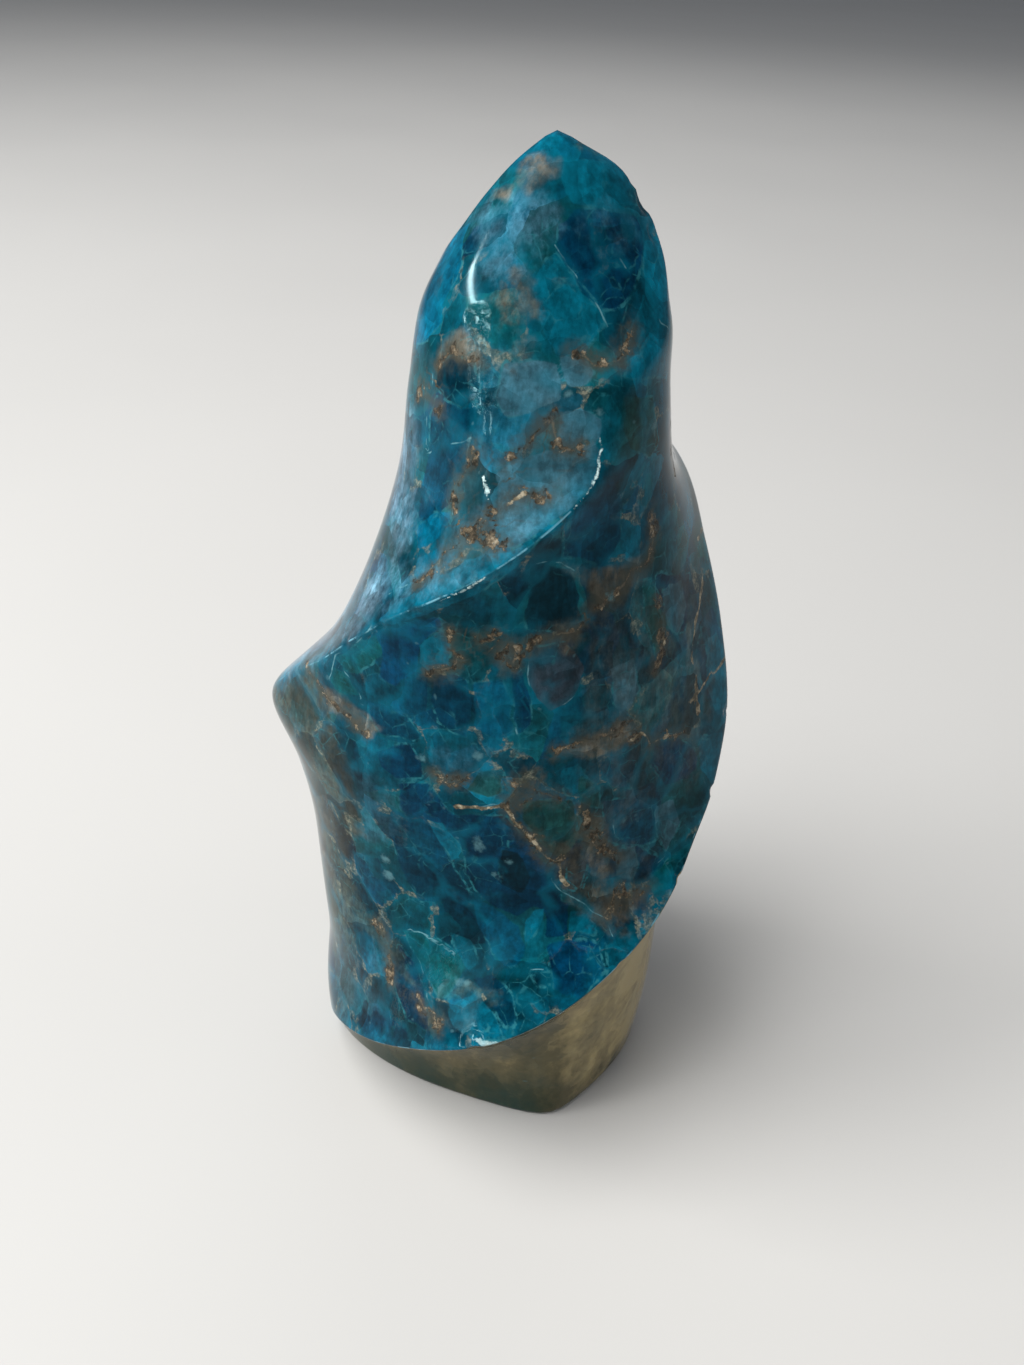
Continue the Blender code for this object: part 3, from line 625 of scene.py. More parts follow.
# The olive under the lower ridge, stone colour and partly a painted reflection of the table: how high and how
# far round it goes, how it fades out there, and the noise (size, falloff, gap and layers) that makes its end
# ragged.
underside = {
    "top": 60.0,
    "end": 20.0,
    "radius": 25.0,
    "fade": 0.035,
    "ragged": 0.5,
    "raggedFrom": -18.0,
    "raggedOver": 30.0,
    "raggedLength": 9.0,
    "raggedNoise": (0.8, 2.0, 5),
}

# How far outlines and seams wander from their plain course, and the heights that the ridges' painted glow and
# their wear and painted highlight reach.
markings = {
    "wanderSeed": 7,
    "wander": 0.6,
    "wanderLength": 4.5,
    "fineWander": 0.2,
    "fineWanderLength": 1.4,
    "seamStep": 1.5,
    "ridgeTops": {"crest": 147.0, "edge": 112.0},
}


def wanderedPoints(points):
    noise.seed_set(markings["wanderSeed"])
    moved = points.copy()
    for kind in ("wander", "fineWander"):
        length = markings[kind + "Length"]
        moved += markings[kind] * np.array([noise.noise_vector(Vector(p) / length) for p in points])
    return moved


def stepFrom(points, start, end):
    # the step to each point from the nearest place on a straight stretch, and how far along it that is
    line = end - start
    share = np.clip((points - start) @ line / max(line @ line, tiny), 0.0, 1.0)
    return points - start - share[:, None] * line, share


def outlineDepth(azimuths, heights, outline):
    # how deep each point lies inside an outline in mm, below 0 outside it
    first = outline[0][0]
    corners = np.array([(first + halfTurn(a - first), z) for a, z in outline])
    middle = corners.mean(axis=0)
    scale = (math.radians(reachAt(*middle)), 1.0)
    corners = (corners - middle) * scale
    places = np.column_stack([halfTurn(azimuths - middle[0]), heights - middle[1]]) * scale
    u, v = places.T
    inside = np.zeros(len(u), bool)
    nearest = np.full(len(u), far)
    for start, end in zip(corners, np.roll(corners, -1, axis=0)):
        gap, share = stepFrom(places, start, end)
        nearest = np.minimum(nearest, np.hypot(*gap.T))
        du, dv = end - start
        if dv:
            crossing = start[0] + (v - start[1]) * du / dv
            inside ^= ((start[1] > v) != (end[1] > v)) & (u < crossing)
    return np.where(inside, nearest, -nearest)


def seamPath(seam):
    # points on the surface, one seamStep apart, along a seam of (azimuth, height)
    path = [surfacePoint(*seam[0])]
    for (a, z), (b, y) in zip(seam, seam[1:]):
        turn = halfTurn(b - a)
        length = np.linalg.norm(surfacePoint(b, y) - surfacePoint(a, z))
        pieces = max(1, round(length / markings["seamStep"]))
        for i in range(1, pieces + 1):
            path.append(surfacePoint(a + turn * i / pieces, z + (y - z) * i / pieces))
    return path


def seamOffsets(points, seams):
    # the step from the nearest seam to each point, and its length, in mm
    nearest = np.full(len(points), far)
    offsets = np.zeros((len(points), 3))
    for path in map(seamPath, seams):
        for start, end in zip(path, path[1:]):
            gap, share = stepFrom(points, start, end)
            length = np.linalg.norm(gap, axis=1)
            closer = length < nearest
            nearest[closer] = length[closer]
            offsets[closer] = gap[closer]
    return offsets, nearest


def seamDistance(points, seams):
    return seamOffsets(points, seams)[1]


def strokeDistance(points, strokes):
    # how far each point lies outside the nearest stroke, which swells and tapers, in mm
    nearest = np.full(len(points), far)
    for stroke in strokes:
        for (a, z, width), (b, y, nextWidth) in zip(stroke, stroke[1:]):
            gap, share = stepFrom(points, surfacePoint(a, z), surfacePoint(b, y))
            halfWidth = width + share * (nextWidth - width)
            nearest = np.minimum(nearest, np.linalg.norm(gap, axis=1) - halfWidth)
    return nearest


def undersideDepth(points):
    # how deep a point lies under the lower ridge in mm, below 0 on the stone above it
    heights = np.arange(0.0, underside["top"] + 1.0)
    crests = [valuesAt(stoneForm["lowerRidge"], z)[0] for z in heights]
    toRidge = seamDistance(points, [list(zip(crests, heights))])
    azimuths = azimuthsOf(points)
    past = halfTurn(azimuths - np.interp(points[:, 2], heights, crests))
    toEnd = np.radians(halfTurn(underside["end"] - azimuths)) * underside["radius"]
    fading = np.minimum(toEnd, underside["top"] - points[:, 2]) * underside["fade"]
    length, falloff = underside["raggedLength"], underside["raggedNoise"]
    ragged = np.array([noise.fractal(Vector(p) / length, *falloff) for p in points])
    share = np.clip((azimuths - underside["raggedFrom"]) / underside["raggedOver"], 0.0, 1.0)
    fading += underside["ragged"] * ragged * share
    return np.where(past > 0.0, np.minimum(toRidge, fading), -toRidge)


def strewOutline(rng, size):
    # an angular outline round a place on the hidden sides
    azimuth = rng.uniform(*hiddenSide["azimuths"])
    height = rng.uniform(*hiddenSide["outlineHeights"])
    lean = Matrix.Rotation(rng.uniform(0.0, math.pi), 2)
    stretch = rng.uniform(*hiddenSide["outlineStretch"])
    count = rng.randint(*hiddenSide["outlineCorners"])
    spread = hiddenSide["outlineSpread"]
    corners = []
    for i in range(count):
        angle = 2.0 * math.pi * (i + rng.uniform(-spread, spread)) / count
        reach = size * rng.uniform(*hiddenSide["outlineReach"])
        u, v = lean @ Vector((stretch * reach * math.cos(angle), reach * math.sin(angle)))
        turn = math.degrees(u / reachAt(azimuth, height))
        corners.append((azimuth + turn, float(np.clip(height + v, *hiddenSide["outlineLimits"]))))
    return corners


def strewSeam(rng):
    # a wandering path over the hidden sides
    azimuth = rng.uniform(*hiddenSide["azimuths"])
    height = rng.uniform(*hiddenSide["seamHeights"])
    slope, bend = hiddenSide["seamSlope"], hiddenSide["seamBend"]
    heading = rng.uniform(-slope, slope) + rng.choice((0.0, math.pi))
    path = [(azimuth, height)]
    for i in range(rng.randint(*hiddenSide["seamSteps"])):
        heading += rng.uniform(-bend, bend)
        step = rng.uniform(*hiddenSide["seamStep"])
        azimuth += math.degrees(step * math.cos(heading) / hiddenSide["seamRadius"])
        height = float(np.clip(height + step * math.sin(heading), *hiddenSide["seamLimits"]))
        path.append((azimuth, height))
    return path


def gatherMarkings():
    # the front's own markings, and strewn ones for the hidden sides
    rng = random.Random(hiddenSide["seed"])
    outlines = {colour: list(shapes.values()) for colour, shapes in {**crystals, **clouds}.items()}
    for kind in ("crystal", "cloud"):
        shares = hiddenSide[kind + "Shares"]
        for colour in rng.choices(list(shares), list(shares.values()), k=hiddenSide[kind + "s"]):
            outlines[colour].append(strewOutline(rng, rng.uniform(*hiddenSide[kind + "Sizes"])))
    seams = {"rust": rustSeams, "crack": paleCracks, "cream": creamSeams}
    for name, drawn in seams.items():
        strewn = [strewSeam(rng) for i in range(hiddenSide["seams"][name])]
        seams[name] = [*drawn.values(), *strewn]
    return outlines, seams


def storeValues(mesh, name, values):
    kind, field = ("FLOAT", "value") if values.ndim == 1 else ("FLOAT_VECTOR", "vector")
    layer = mesh.attributes.new(name, kind, "POINT")
    layer.data.foreach_set(field, values.astype(np.float32).ravel())


def markStone(mesh, points):
    outlines, seams = gatherMarkings()
    moved = wanderedPoints(points)
    azimuths = azimuthsOf(moved)
    for colour, shapes in outlines.items():
        depths = [outlineDepth(azimuths, moved[:, 2], outline) for outline in shapes]
        storeValues(mesh, colour, np.maximum.reduce(depths))
    for name, paths in seams.items():
        offsets, nearest = seamOffsets(moved, paths)
        storeValues(mesh, name + "Offset", offsets)
        storeValues(mesh, name + "Reach", nearest)
    for name, top in markings["ridgeTops"].items():
        crests = []
        for ridge in ("upperRidge", "lowerRidge"):
            crests.append([(azimuth, height) for height, azimuth, *shape in stoneForm[ridge] if height < top])
        storeValues(mesh, name, seamDistance(points, crests))
    spots = [np.linalg.norm(moved - surfacePoint(a, z), axis=1) - radius for a, z, radius in flecks.values()]
    storeValues(mesh, "fleck", np.minimum.reduce(spots))
    storeValues(mesh, "underside", undersideDepth(points))
    # distance to the strokes of edge wear and of painted highlights
    storeValues(mesh, "whitened", strokeDistance(points, wornEdgesAndHighlights.values()))
    storeValues(mesh, "dull", seamDistance(moved, dullPaths.values()))
    storeValues(mesh, "scuff", seamDistance(moved, scuffs.values()))


markStone(stoneMesh, stonePoints)
print("markings laid out")


# The stone's finish. Colours are linear red, green and blue, and lengths are mm.
apatiteLook = {
    "bodyTones": [
        (0.0, (0.0003, 0.01, 0.023)), (0.22, (0.0004, 0.02, 0.038)),
        (0.45, (0.0006, 0.037, 0.056)), (0.65, (0.0016, 0.038, 0.042)),
        (0.82, (0.0005, 0.05, 0.08)), (1.0, (0.001, 0.074, 0.114)),
    ],
    "crystalColours": {
        "deep": (0.0003, 0.0225, 0.043),
        "teal": (0.0006, 0.057, 0.082),
        "green": (0.0014, 0.05, 0.049),
        "moss": (0.005, 0.031, 0.028),
        "navy": (0.0002, 0.017, 0.039),
        "royal": (0.0002, 0.027, 0.062),
        "ink": (0.0005, 0.01, 0.017),
        "violet": (0.017, 0.023, 0.029),
        "slate": (0.024, 0.07, 0.088),
        "blue": (0.0002, 0.037, 0.067),
        "azure": (0.0002, 0.054, 0.091),
        "cyan": (0.0006, 0.071, 0.105),
    },
    # strength, softness and raggedness of every crystal
    "crystalCover": (0.91, 0.12, 0.19),
    # tint, strength, softness, raggedness and thinnest share of each cloud
    "cloudColours": {
        # taupe: stone colour, partly a painted reflection of the table
        "taupe": ((0.036, 0.038, 0.027), 0.84, 1.0, 1.0, 0.45),
        "sage": ((0.044, 0.07, 0.058), 0.6, 0.6, 0.8, 0.2),
        # painted reflection tint
        "haze": ((0.05, 0.14, 0.185), 0.56, 1.3, 1.3, 0.15),
        # painted reflection tint
        "film": ((0.04, 0.145, 0.19), 0.2, 1.3, 1.3, 0.3),
        "mist": ((0.018, 0.062, 0.082), 0.55, 1.3, 1.4, 0.15),
        "dusk": ((0.036, 0.043, 0.039), 0.5, 1.3, 1.4, 0.15),
        "umber": ((0.07, 0.06, 0.039), 0.7, 1.1, 1.2, 0.15),
        "bark": ((0.088, 0.078, 0.056), 0.88, 0.6, 0.45, 0.35),
        # painted reflection tint
        "veil": ((0.115, 0.2, 0.245), 0.42, 1.3, 1.3, 0.2),
    },
    "cloudNoise": {"size": 1.7, "detail": 4, "roughness": 0.7, "stretch": (1, 1, 0.6)},
    "cloudSpan": (0.32, 0.62),
    # every other layer's tint or tones, its strength, the masks it is laid through, and what its tones read
    "layers": {
        "greener": ((0.0014, 0.05, 0.049), 1.0, ("greener",)),
        # painted glow: the bright teal of light passing through the thin ridges, strongest at their crests
        "glow": ((0.001, 0.1, 0.15), 1.0, ("crestGlow", "glowPatches")),
        "milk": ((0.002, 0.058, 0.084), 1.0, ("milk", "wisps")),
        "rimLight": ((0.001, 0.1, 0.15), 1.0, ("rimLight", "rimPatches")),
        "vein": ([
            (0.00, (0.022, 0.030, 0.024)), (0.45, (0.060, 0.070, 0.055)),
            (0.70, (0.130, 0.135, 0.100)), (1.00, (0.240, 0.210, 0.140)),
        ], 0.58, ("vein", "veinRoom", "veinPatches"), "veinGrit"),
        "line": ((0.018, 0.12, 0.14), 0.75, ("line", "linePatches", "lineGaps")),
        # olive underside colour, partly a painted reflection of the table, with painted back light towards
        # its right
        "foot": ([
            (0.00, (0.012, 0.026, 0.020)), (0.35, (0.034, 0.036, 0.020)),
            (0.65, (0.092, 0.076, 0.038)), (1.00, (0.310, 0.242, 0.112)),
        ], 1.0, ("foot", "footStrength"), "footTone"),
        "halo": ((0.001, 0.1, 0.15), 0.22, ("halo",)),
        "crack": ((0.085, 0.21, 0.24), 0.85, ("crack", "crackGaps")),
        "stain": ((0.042, 0.042, 0.032), 0.50, ("stain", "rustPatches")),
        "skirt": ((0.046, 0.038, 0.024), 0.45, ("skirt",)),
        "thread": ((0.11, 0.088, 0.062), 0.60, ("thread", "rustPatches")),
        "rust": ([
            (0.00, (0.010, 0.008, 0.006)), (0.32, (0.034, 0.025, 0.016)),
            (0.52, (0.072, 0.054, 0.034)), (0.68, (0.120, 0.090, 0.056)),
            (0.82, (0.180, 0.140, 0.092)), (0.93, (0.270, 0.235, 0.170)),
            (1.00, (0.190, 0.105, 0.048)),
        ], 0.90, ("rust",), "rustGrit"),
        "cream": ([
            (0.00, (0.048, 0.038, 0.024)), (0.40, (0.115, 0.092, 0.058)),
            (0.75, (0.210, 0.175, 0.115)), (1.00, (0.360, 0.315, 0.225)),
        ], 0.88, ("cream",), "creamGrit"),
        "spots": ((0.07, 0.16, 0.18), 0.65, ("spots",)),
        # edge wear and painted highlight: a thin pale line along the sharp ridge crests, partly worn chips
        # and partly a painted highlight
        "wear": ((0.13, 0.32, 0.40), 1.0, ("wear", "wearPatches")),
        # white strokes: a real pale chip at the foot, and painted highlights on the ridge edges
        "white": ((0.55, 0.72, 0.70), 1.0, ("white", "whitePatches", "whiteUp")),
    },
    # noise: size, detail, roughness and shift, then what it is eased from and to, its stretch and its turn
    "noise": {
        "mottle": (5.0, 3, 0.6, (31, 7, 12)),
        "glowPatches": (3.0, 3, 0.5, (0, 0, 0), (0.35, 0.65, 0.3, 1)),
        "milk": (6.5, 4, 0.62, (2, 40, 6), (0.44, 0.72, 0, 0.42)),
        "wisps": (1.5, 4, 0.72, (5, 1, 17), (0.36, 0.64, 0.10, 1), (1, 1, 0.30), (0.2, 0.3, 0)),
        "fibres": (0.7, 3, 0.65, (3, 5, 8), (0.34, 0.68, 0.86, 1.16), (1, 1, 0.16), (0.25, 0.35, 0)),
        "fineMottle": (1.8, 4, 0.66, (9, 2, 4), (0.3, 0.7, 0.68, 1.36)),
        "rimPatches": (4.0, 3, 0.5, (3, 30, 4), (0.40, 0.62)),
        "veinPatches": (9.0, 2, 0.5, (19, 6, 2), (0.48, 0.62)),
        "veinWidth": (2.4, 3, 0.6, (2, 11, 5), (0.42, 0.68, -0.08, 0.62)),
        "veinGrit": (0.6, 4, 0.7, (6, 1, 8), (0.30, 0.70)),
        "linePatches": (7.0, 2, 0.5, (14, 3, 22), (0.48, 0.60)),
        "lineGaps": (1.1, 3, 0.6, (0, 0, 0), (0.38, 0.62)),
        "footStreaks": (8.0, 4, 0.55, (4, 8, 1), (0.25, 0.75, 0.14, 0.54), (1, 1, 0.45), (0, 0.6, 0)),
        "footGrain": (1.4, 4, 0.65, (1, 3, 5), (0.3, 0.7, -0.04, 0.04)),
        "crackGaps": (2.4, 4, 0.6, (8, 8, 1), (0.36, 0.58, 0.30, 1)),
        "skirtWidth": (3.6, 3, 0.6, (7, 21, 3), (0.44, 0.66, 0, 1.1)),
        "rustPatches": (2.6, 3, 0.6, (1, 4, 30), (0.38, 0.56, 0.30, 1)),
        "rustIslands": (1.7, 7, 0.80, (11, 2, 9), None, (1, 1, 0.8), (0.5, 0.4, 0)),
        "grit": (1.1, 5, 0.66, (6, 2, 2)),
        "creamWidth": (2.4, 3, 0.6, (3, 2, 31), (0.40, 0.66, 0.06, 0.34)),
        "fleckNoise": (0.8, 3, 0.6),
        "wearPatches": (2.6, 4, 0.7, (12, 5, 5), (0.46, 0.60, 0.05, 0.8)),
        "whiteNoise": (0.6, 3, 0.65),
        "whitePatches": (1.2, 3, 0.6, (7, 7, 2), (0.34, 0.52, 0.4, 1)),
        "smear": (3.4, 3, 0.6, (4, 9, 2)),
        "pits": (0.7, 4, 0.7, (2, 2, 7), (0.62, 0.44)),
        "polishGrain": (0.5, 2, 0.5),
    },
    # what each mask or shade is read from, and what that is eased from and to
    "eased": {
        "greener": ("grainHue", 0.6, 0.95, 0, 0.28),
        "sideStrength": ("inside", 0, 1, 1, 0.55),
        "blockShade": ("blockSide", -0.28, 0.28, -0.48, 0.50),
        "grainShade": ("grainSide", -0.28, 0.28, 0.88, 1.13),
        "toneShade": ("grainTone", 0.1, 0.9, 0.88, 1.13),
        # painted shade: darker lower down, lighter towards the top
        "heightShade": ("z", 25, 105, 0.73, 1.04),
        "crestGlow": ("crest", 3.2, 0.2, 0, 0.55),
        "rimLight": ("blockBorder", 1.3, 0.15, 0, 0.34),
        "vein": ("veinDistance", 0.22, -0.06),
        "veinRoom": ("inside", 0, 1, 1, 0.10),
        "grainLine": ("grainBorder", 0.14, 0.02, 0, 0.50),
        "foot": ("underside", -0.10, 0.22),
        "footStrength": ("underside", 0, 3, 0.86, 0.97),
        "footHem": ("underside", 0, 7, 0.14, 0),
        # painted back light: the foot lighter towards its right
        "footRight": ("x", 8, 24, 0, 0.50),
        "footUp": ("z", 0, 14, -0.26, 0.06),
        "footBlocks": ("blockTone", 0.1, 0.9, -0.04, 0.04),
        "footSides": ("grainSide", -0.28, 0.28, -0.04, 0.04),
        "rust": ("rustDepth", 0.91, 0.99),
        "rustGrit": ("grit", 0.26, 0.74),
        "creamGrit": ("grit", 0.34, 0.66),
        "fleckMark": ("fleckDistance", 1.30, 0.35),
        "dot": ("dotDistance", 0.24, 0.08, 0, 0.40),
        "dotChosen": ("dotKind", 0.93, 0.97),
        "wear": ("edge", 0.20, 0.05),
        "white": ("whiteDistance", 0.60, 0.38),
        "whiteUp": ("z", 40, 90, 0.32, 1),
        "scuffed": ("scuff", 2.1, 0.7),
        "dulled": ("dull", 4.5, 1.8, 0, 0.42),
    },
    # each band's seam, half width or the noise that sets it, softness and raggedness
    "bands": {
        "crack": ("crack", 0.0, 0.15, 0.05),
        "halo": ("crack", 0.1, 1.3, 0.4),
        "stain": ("rust", 0.4, 2.2, 0.9),
        "skirt": ("rust", "skirtWidth", 0.9, 0.40),
        "thread": ("rust", 0.0, 0.20, 0.16),
        "cream": ("cream", "creamWidth", 0.20, 0.15),
    },
    # sums of other values, each with its weight; the relief is in mm
    "sums": {
        "bodyTone": [("blockTone", 0.7), ("mottle", 0.35)],
        "footTone": [
            ("footStreaks", 1), ("footGrain", 1), ("footRight", 1), ("footBlocks", 1),
            ("footSides", 1), ("footHem", 1), ("footUp", 1),
        ],
        "veinDistance": [("blockBorder", 1), ("veinWidth", -1)],
        "rustDepth": [("rustIslands", 1), ("skirt", 0.45)],
        "fleckDistance": [("fleck", 1), ("fleckNoise", 1.6)],
        "whiteDistance": [("whitened", 1), ("whiteNoise", 1)],
        "roughness": [
            ("one", 0.045), ("smear", 0.08), ("rust", 0.30),
            ("scuffed", 0.03), ("dulled", 1), ("marks", 0.10),
        ],
        "relief": [("rustPits", -0.12), ("scuffPits", -0.085), ("crack", -0.015), ("fineGrain", 0.003)],
    },
    "blockSize": 8.0,
    "grainSize": 2.9,
    "dotSize": 1.5,
    # length and amount of the large and the small wander of the crystals' borders
    "wideWander": (9.0, 2.6),
    "nearWander": (1.8, 0.35),
    "patchRim": 0.9,
    "cast": (1.0, 0.98, 1.03),
    "reliefStrength": 0.9,
    "refraction": 1.6,
    "gloss": 0.060,
    "sheen": (0.50, 0.95, 1.00),
}

# The noise along the edges of bands and patches, how far it throws them, how wide a patch's rim is, and
# how much nearer than its reach a seam's step may lie. Lengths in mm.
raggedEdges = {
    "bandNoise": (1.2, 5, 0.74),
    "patchNoise": (2.2, 3, 0.55),
    "noiseMiddle": 0.5,
    "throw": 4.0,
    "rim": (0.26, 0.08),
    "slack": 1.0,
}


class ShaderTree:
    # a shader under construction: the place in mm that its noise reads, its named values and its colour
    def __init__(self, tree, place=None):
        self.tree = tree
        self.place = place
        self.colour = None
        self.values = {"one": 1.0}

    def feed(self, sockets, inputs):
        # links or sets each input by name or number
        for key, value in inputs.items():
            if isinstance(value, bpy.types.NodeSocket):
                self.tree.links.new(value, sockets[key])
            else:
                sockets[key].default_value = value

    def node(self, kind, inputs=None, **settings):
        made = self.tree.nodes.new("ShaderNode" + kind)
        for name, value in settings.items():
            setattr(made, name, value)
        self.feed(made.inputs, inputs or {})
        return made.outputs

    def math(self, operation, first, *others):
        for value in others:
            first = self.node("Math", {0: first, 1: value}, operation=operation)[0]
        return first

    def times(self, *values):
        return self.math("MULTIPLY", *values)

    def vector(self, operation, *values):
        return self.node("VectorMath", dict(enumerate(values)), operation=operation)

    def ease(self, value, low, high, start=0.0, end=1.0):
        inputs = {"Value": value, "From Min": low, "From Max": high, "To Min": start, "To Max": end}
        return self.node("MapRange", inputs, interpolation_type="SMOOTHSTEP")[0]

    def blend(self, share, under, over, how="MIX"):
        inputs = {0: share}
        for key, value in ((6, under), (7, over)):
            inputs[key] = value if isinstance(value, bpy.types.NodeSocket) else (*value, 1.0)
        return self.node("Mix", inputs, data_type="RGBA", blend_type=how)[2]

    def tones(self, value, stops):
        ramp = self.node("ValToRGB", {"Fac": value})["Color"]
        elements = ramp.node.color_ramp.elements
        for i, (position, colour) in enumerate(stops):
            stop = elements[i] if i < 2 else elements.new(position)
            stop.position = position
            stop.color = (*colour, 1.0)
        return ramp

    def attribute(self, name, output="Fac"):
        return self.node("Attribute", attribute_name=name)[output]

    def speckle(self, size, detail, roughness, shift=(0, 0, 0), span=None, stretch=(1, 1, 1), turn=(0, 0, 0)):
        # soft noise with features about size mm across
        mapping = {"Vector": self.place, "Location": shift, "Scale": stretch, "Rotation": turn}
        place = self.node("Mapping", mapping)["Vector"]
        inputs = {"Vector": place, "Scale": 1.0 / size, "Detail": detail, "Roughness": roughness}
        value = self.node("TexNoise", inputs)["Fac"]
        return self.ease(value, *span) if span else value

    def effect(self, name, inputs):
        return self.node("Group", {"Place": self.place, **inputs}, node_tree=effects[name])

    def patch(self, name, softness, ragged):
        inputs = {"Depth": self.attribute(name), "Softness": softness, "Ragged": ragged}
        return self.effect("patchArea", inputs)

    def band(self, seam, halfWidth, softness, ragged):
        inputs = {"Half Width": halfWidth, "Softness": softness, "Ragged": ragged}
        if isinstance(halfWidth, str):
            inputs["Half Width"] = self.value(halfWidth)
        inputs["Offset"] = self.attribute(seam + "Offset", "Vector")
        inputs["Reach"] = self.attribute(seam + "Reach")
        return self.effect("seamBand", inputs)["Band"]

    def easedValue(self, source, *span):
        return self.ease(self.value(source), *span)

    def sumOf(self, *parts):
        return self.math("ADD", *(self.times(self.value(name), weight) for name, weight in parts))

    def make(self, name):
        ways = {"bands": self.band, "noise": self.speckle, "eased": self.easedValue, "sums": self.sumOf}
        for table, way in ways.items():
            if name in apatiteLook[table]:
                return way(*apatiteLook[table][name])
        return self.attribute(name)

    def value(self, name):
        # a named value of the look, or else an attribute of the mesh, made once
        if name not in self.values:
            self.values[name] = self.make(name)
        return self.values[name]

    def lay(self, *names):
        # named layers over the colour so far
        for name in names:
            tint, strength, masks, *tone = apatiteLook["layers"][name]
            over = self.tones(self.value(tone[0]), tint) if tone else tint
            share = self.times(strength, *map(self.value, masks))
            self.colour = self.blend(share, self.colour, over)

    def finish(self, inputs):
        self.feed(self.tree.nodes["Principled BSDF"].inputs, inputs)


def newMaterial(name):
    material = bpy.data.materials.new(name)
    material.use_nodes = True
    return material, ShaderTree(material.node_tree)


def newGroup(name, inputs, outputs):
    # an input with a number is a plain value, one without it is a vector
    group = bpy.data.node_groups.new(name, "ShaderNodeTree")
    for label, start in inputs.items():
        kind = "NodeSocketVector" if start is None else "NodeSocketFloat"
        socket = group.interface.new_socket(label, in_out="INPUT", socket_type=kind)
        if start is not None:
            socket.default_value = start
    for label, kind in outputs.items():
        group.interface.new_socket(label, in_out="OUTPUT", socket_type="NodeSocket" + kind)
    given = group.nodes.new("NodeGroupInput").outputs
    return ShaderTree(group, given["Place"]), given, group.nodes.new("NodeGroupOutput").inputs


def wanderGroup():
    # moves a place by noise, so that what is drawn there has natural edges
    inputs = {"Place": None, "Length": 5.0, "Amount": 1.0}
    group, given, result = newGroup("wanderPlace", inputs, {"Place": "Vector"})
    scale = group.math("DIVIDE", 1.0, given["Length"])
    field = group.node("TexNoise", {"Vector": group.place, "Scale": scale, "Detail": 2.0})
    centred = group.vector("SUBTRACT", field["Color"], [raggedEdges["noiseMiddle"]] * 3)[0]
    throw = {0: centred, "Scale": group.times(given["Amount"], 2.0)}
    step = group.node("VectorMath", throw, operation="SCALE")[0]
    group.feed(result, {"Place": group.vector("ADD", group.place, step)[0]})
    return group.tree


def crystalGroup():
    # angular crystals: a tone for each, the light and dark side of each, and how near its border is
    outputs = dict.fromkeys(("Tone", "Hue", "Side", "Border"), "Float")
    group, given, result = newGroup("crystalBlocks", {"Place": None, "Size": 5.0}, outputs)
    scale = group.math("DIVIDE", 1.0, given["Size"])
    layout = {"Vector": group.place, "Scale": scale}
    cells = group.node("TexVoronoi", layout)
    edges = group.node("TexVoronoi", layout, feature="DISTANCE_TO_EDGE")
    parts = group.node("SeparateColor", {"Color": cells["Color"]})
    gap = group.vector("SUBTRACT", group.place, cells["Position"])[0]
    aim = group.vector("SUBTRACT", cells["Color"], [raggedEdges["noiseMiddle"]] * 3)[0]
    side = group.times(group.vector("DOT_PRODUCT", gap, aim)["Value"], scale)
    border = group.times(edges["Distance"], given["Size"])
    group.feed(result, {"Tone": parts["Red"], "Hue": parts["Green"], "Side": side, "Border": border})
    return group.tree


def madeRagged(group, distance, ragged, grain):
    # a distance with noise added, so that what it draws has a ragged edge
    swing = group.math("SUBTRACT", group.speckle(*raggedEdges[grain]), raggedEdges["noiseMiddle"])
    return group.math("ADD", distance, group.times(swing, ragged, raggedEdges["throw"]))


def seamGroup():
    # a ragged band along the nearest seam
    inputs = {"Offset": None, "Reach": 9.0, "Place": None, "Half Width": 0.4, "Softness": 0.3, "Ragged": 0.4}
    group, given, result = newGroup("seamBand", inputs, {"Band": "Float"})
    length = group.vector("LENGTH", given["Offset"])["Value"]
    distance = group.math("MAXIMUM", length, group.math("SUBTRACT", given["Reach"], raggedEdges["slack"]))
    uneven = madeRagged(group, distance, given["Ragged"], "bandNoise")
    outer = group.math("ADD", given["Half Width"], given["Softness"])
    group.feed(result, {"Band": group.ease(uneven, outer, given["Half Width"])})
    return group.tree


def patchGroup():
    # where a drawn patch lies and where its rim is, from how deep a point is inside it
    inputs = {"Depth": -9.0, "Place": None, "Softness": 0.2, "Ragged": 0.4}
    group, given, result = newGroup("patchArea", inputs, {"Area": "Float", "Rim": "Float"})
    uneven = madeRagged(group, given["Depth"], given["Ragged"], "patchNoise")
    area = group.ease(uneven, group.times(given["Softness"], -1.0), given["Softness"])
    fromRim = group.math("MAXIMUM", uneven, group.times(uneven, -1.0))
    rim = group.ease(fromRim, *raggedEdges["rim"])
    group.feed(result, {"Area": area, "Rim": rim})
    return group.tree


effects = {group.name: group for group in (wanderGroup(), crystalGroup(), seamGroup(), patchGroup())}


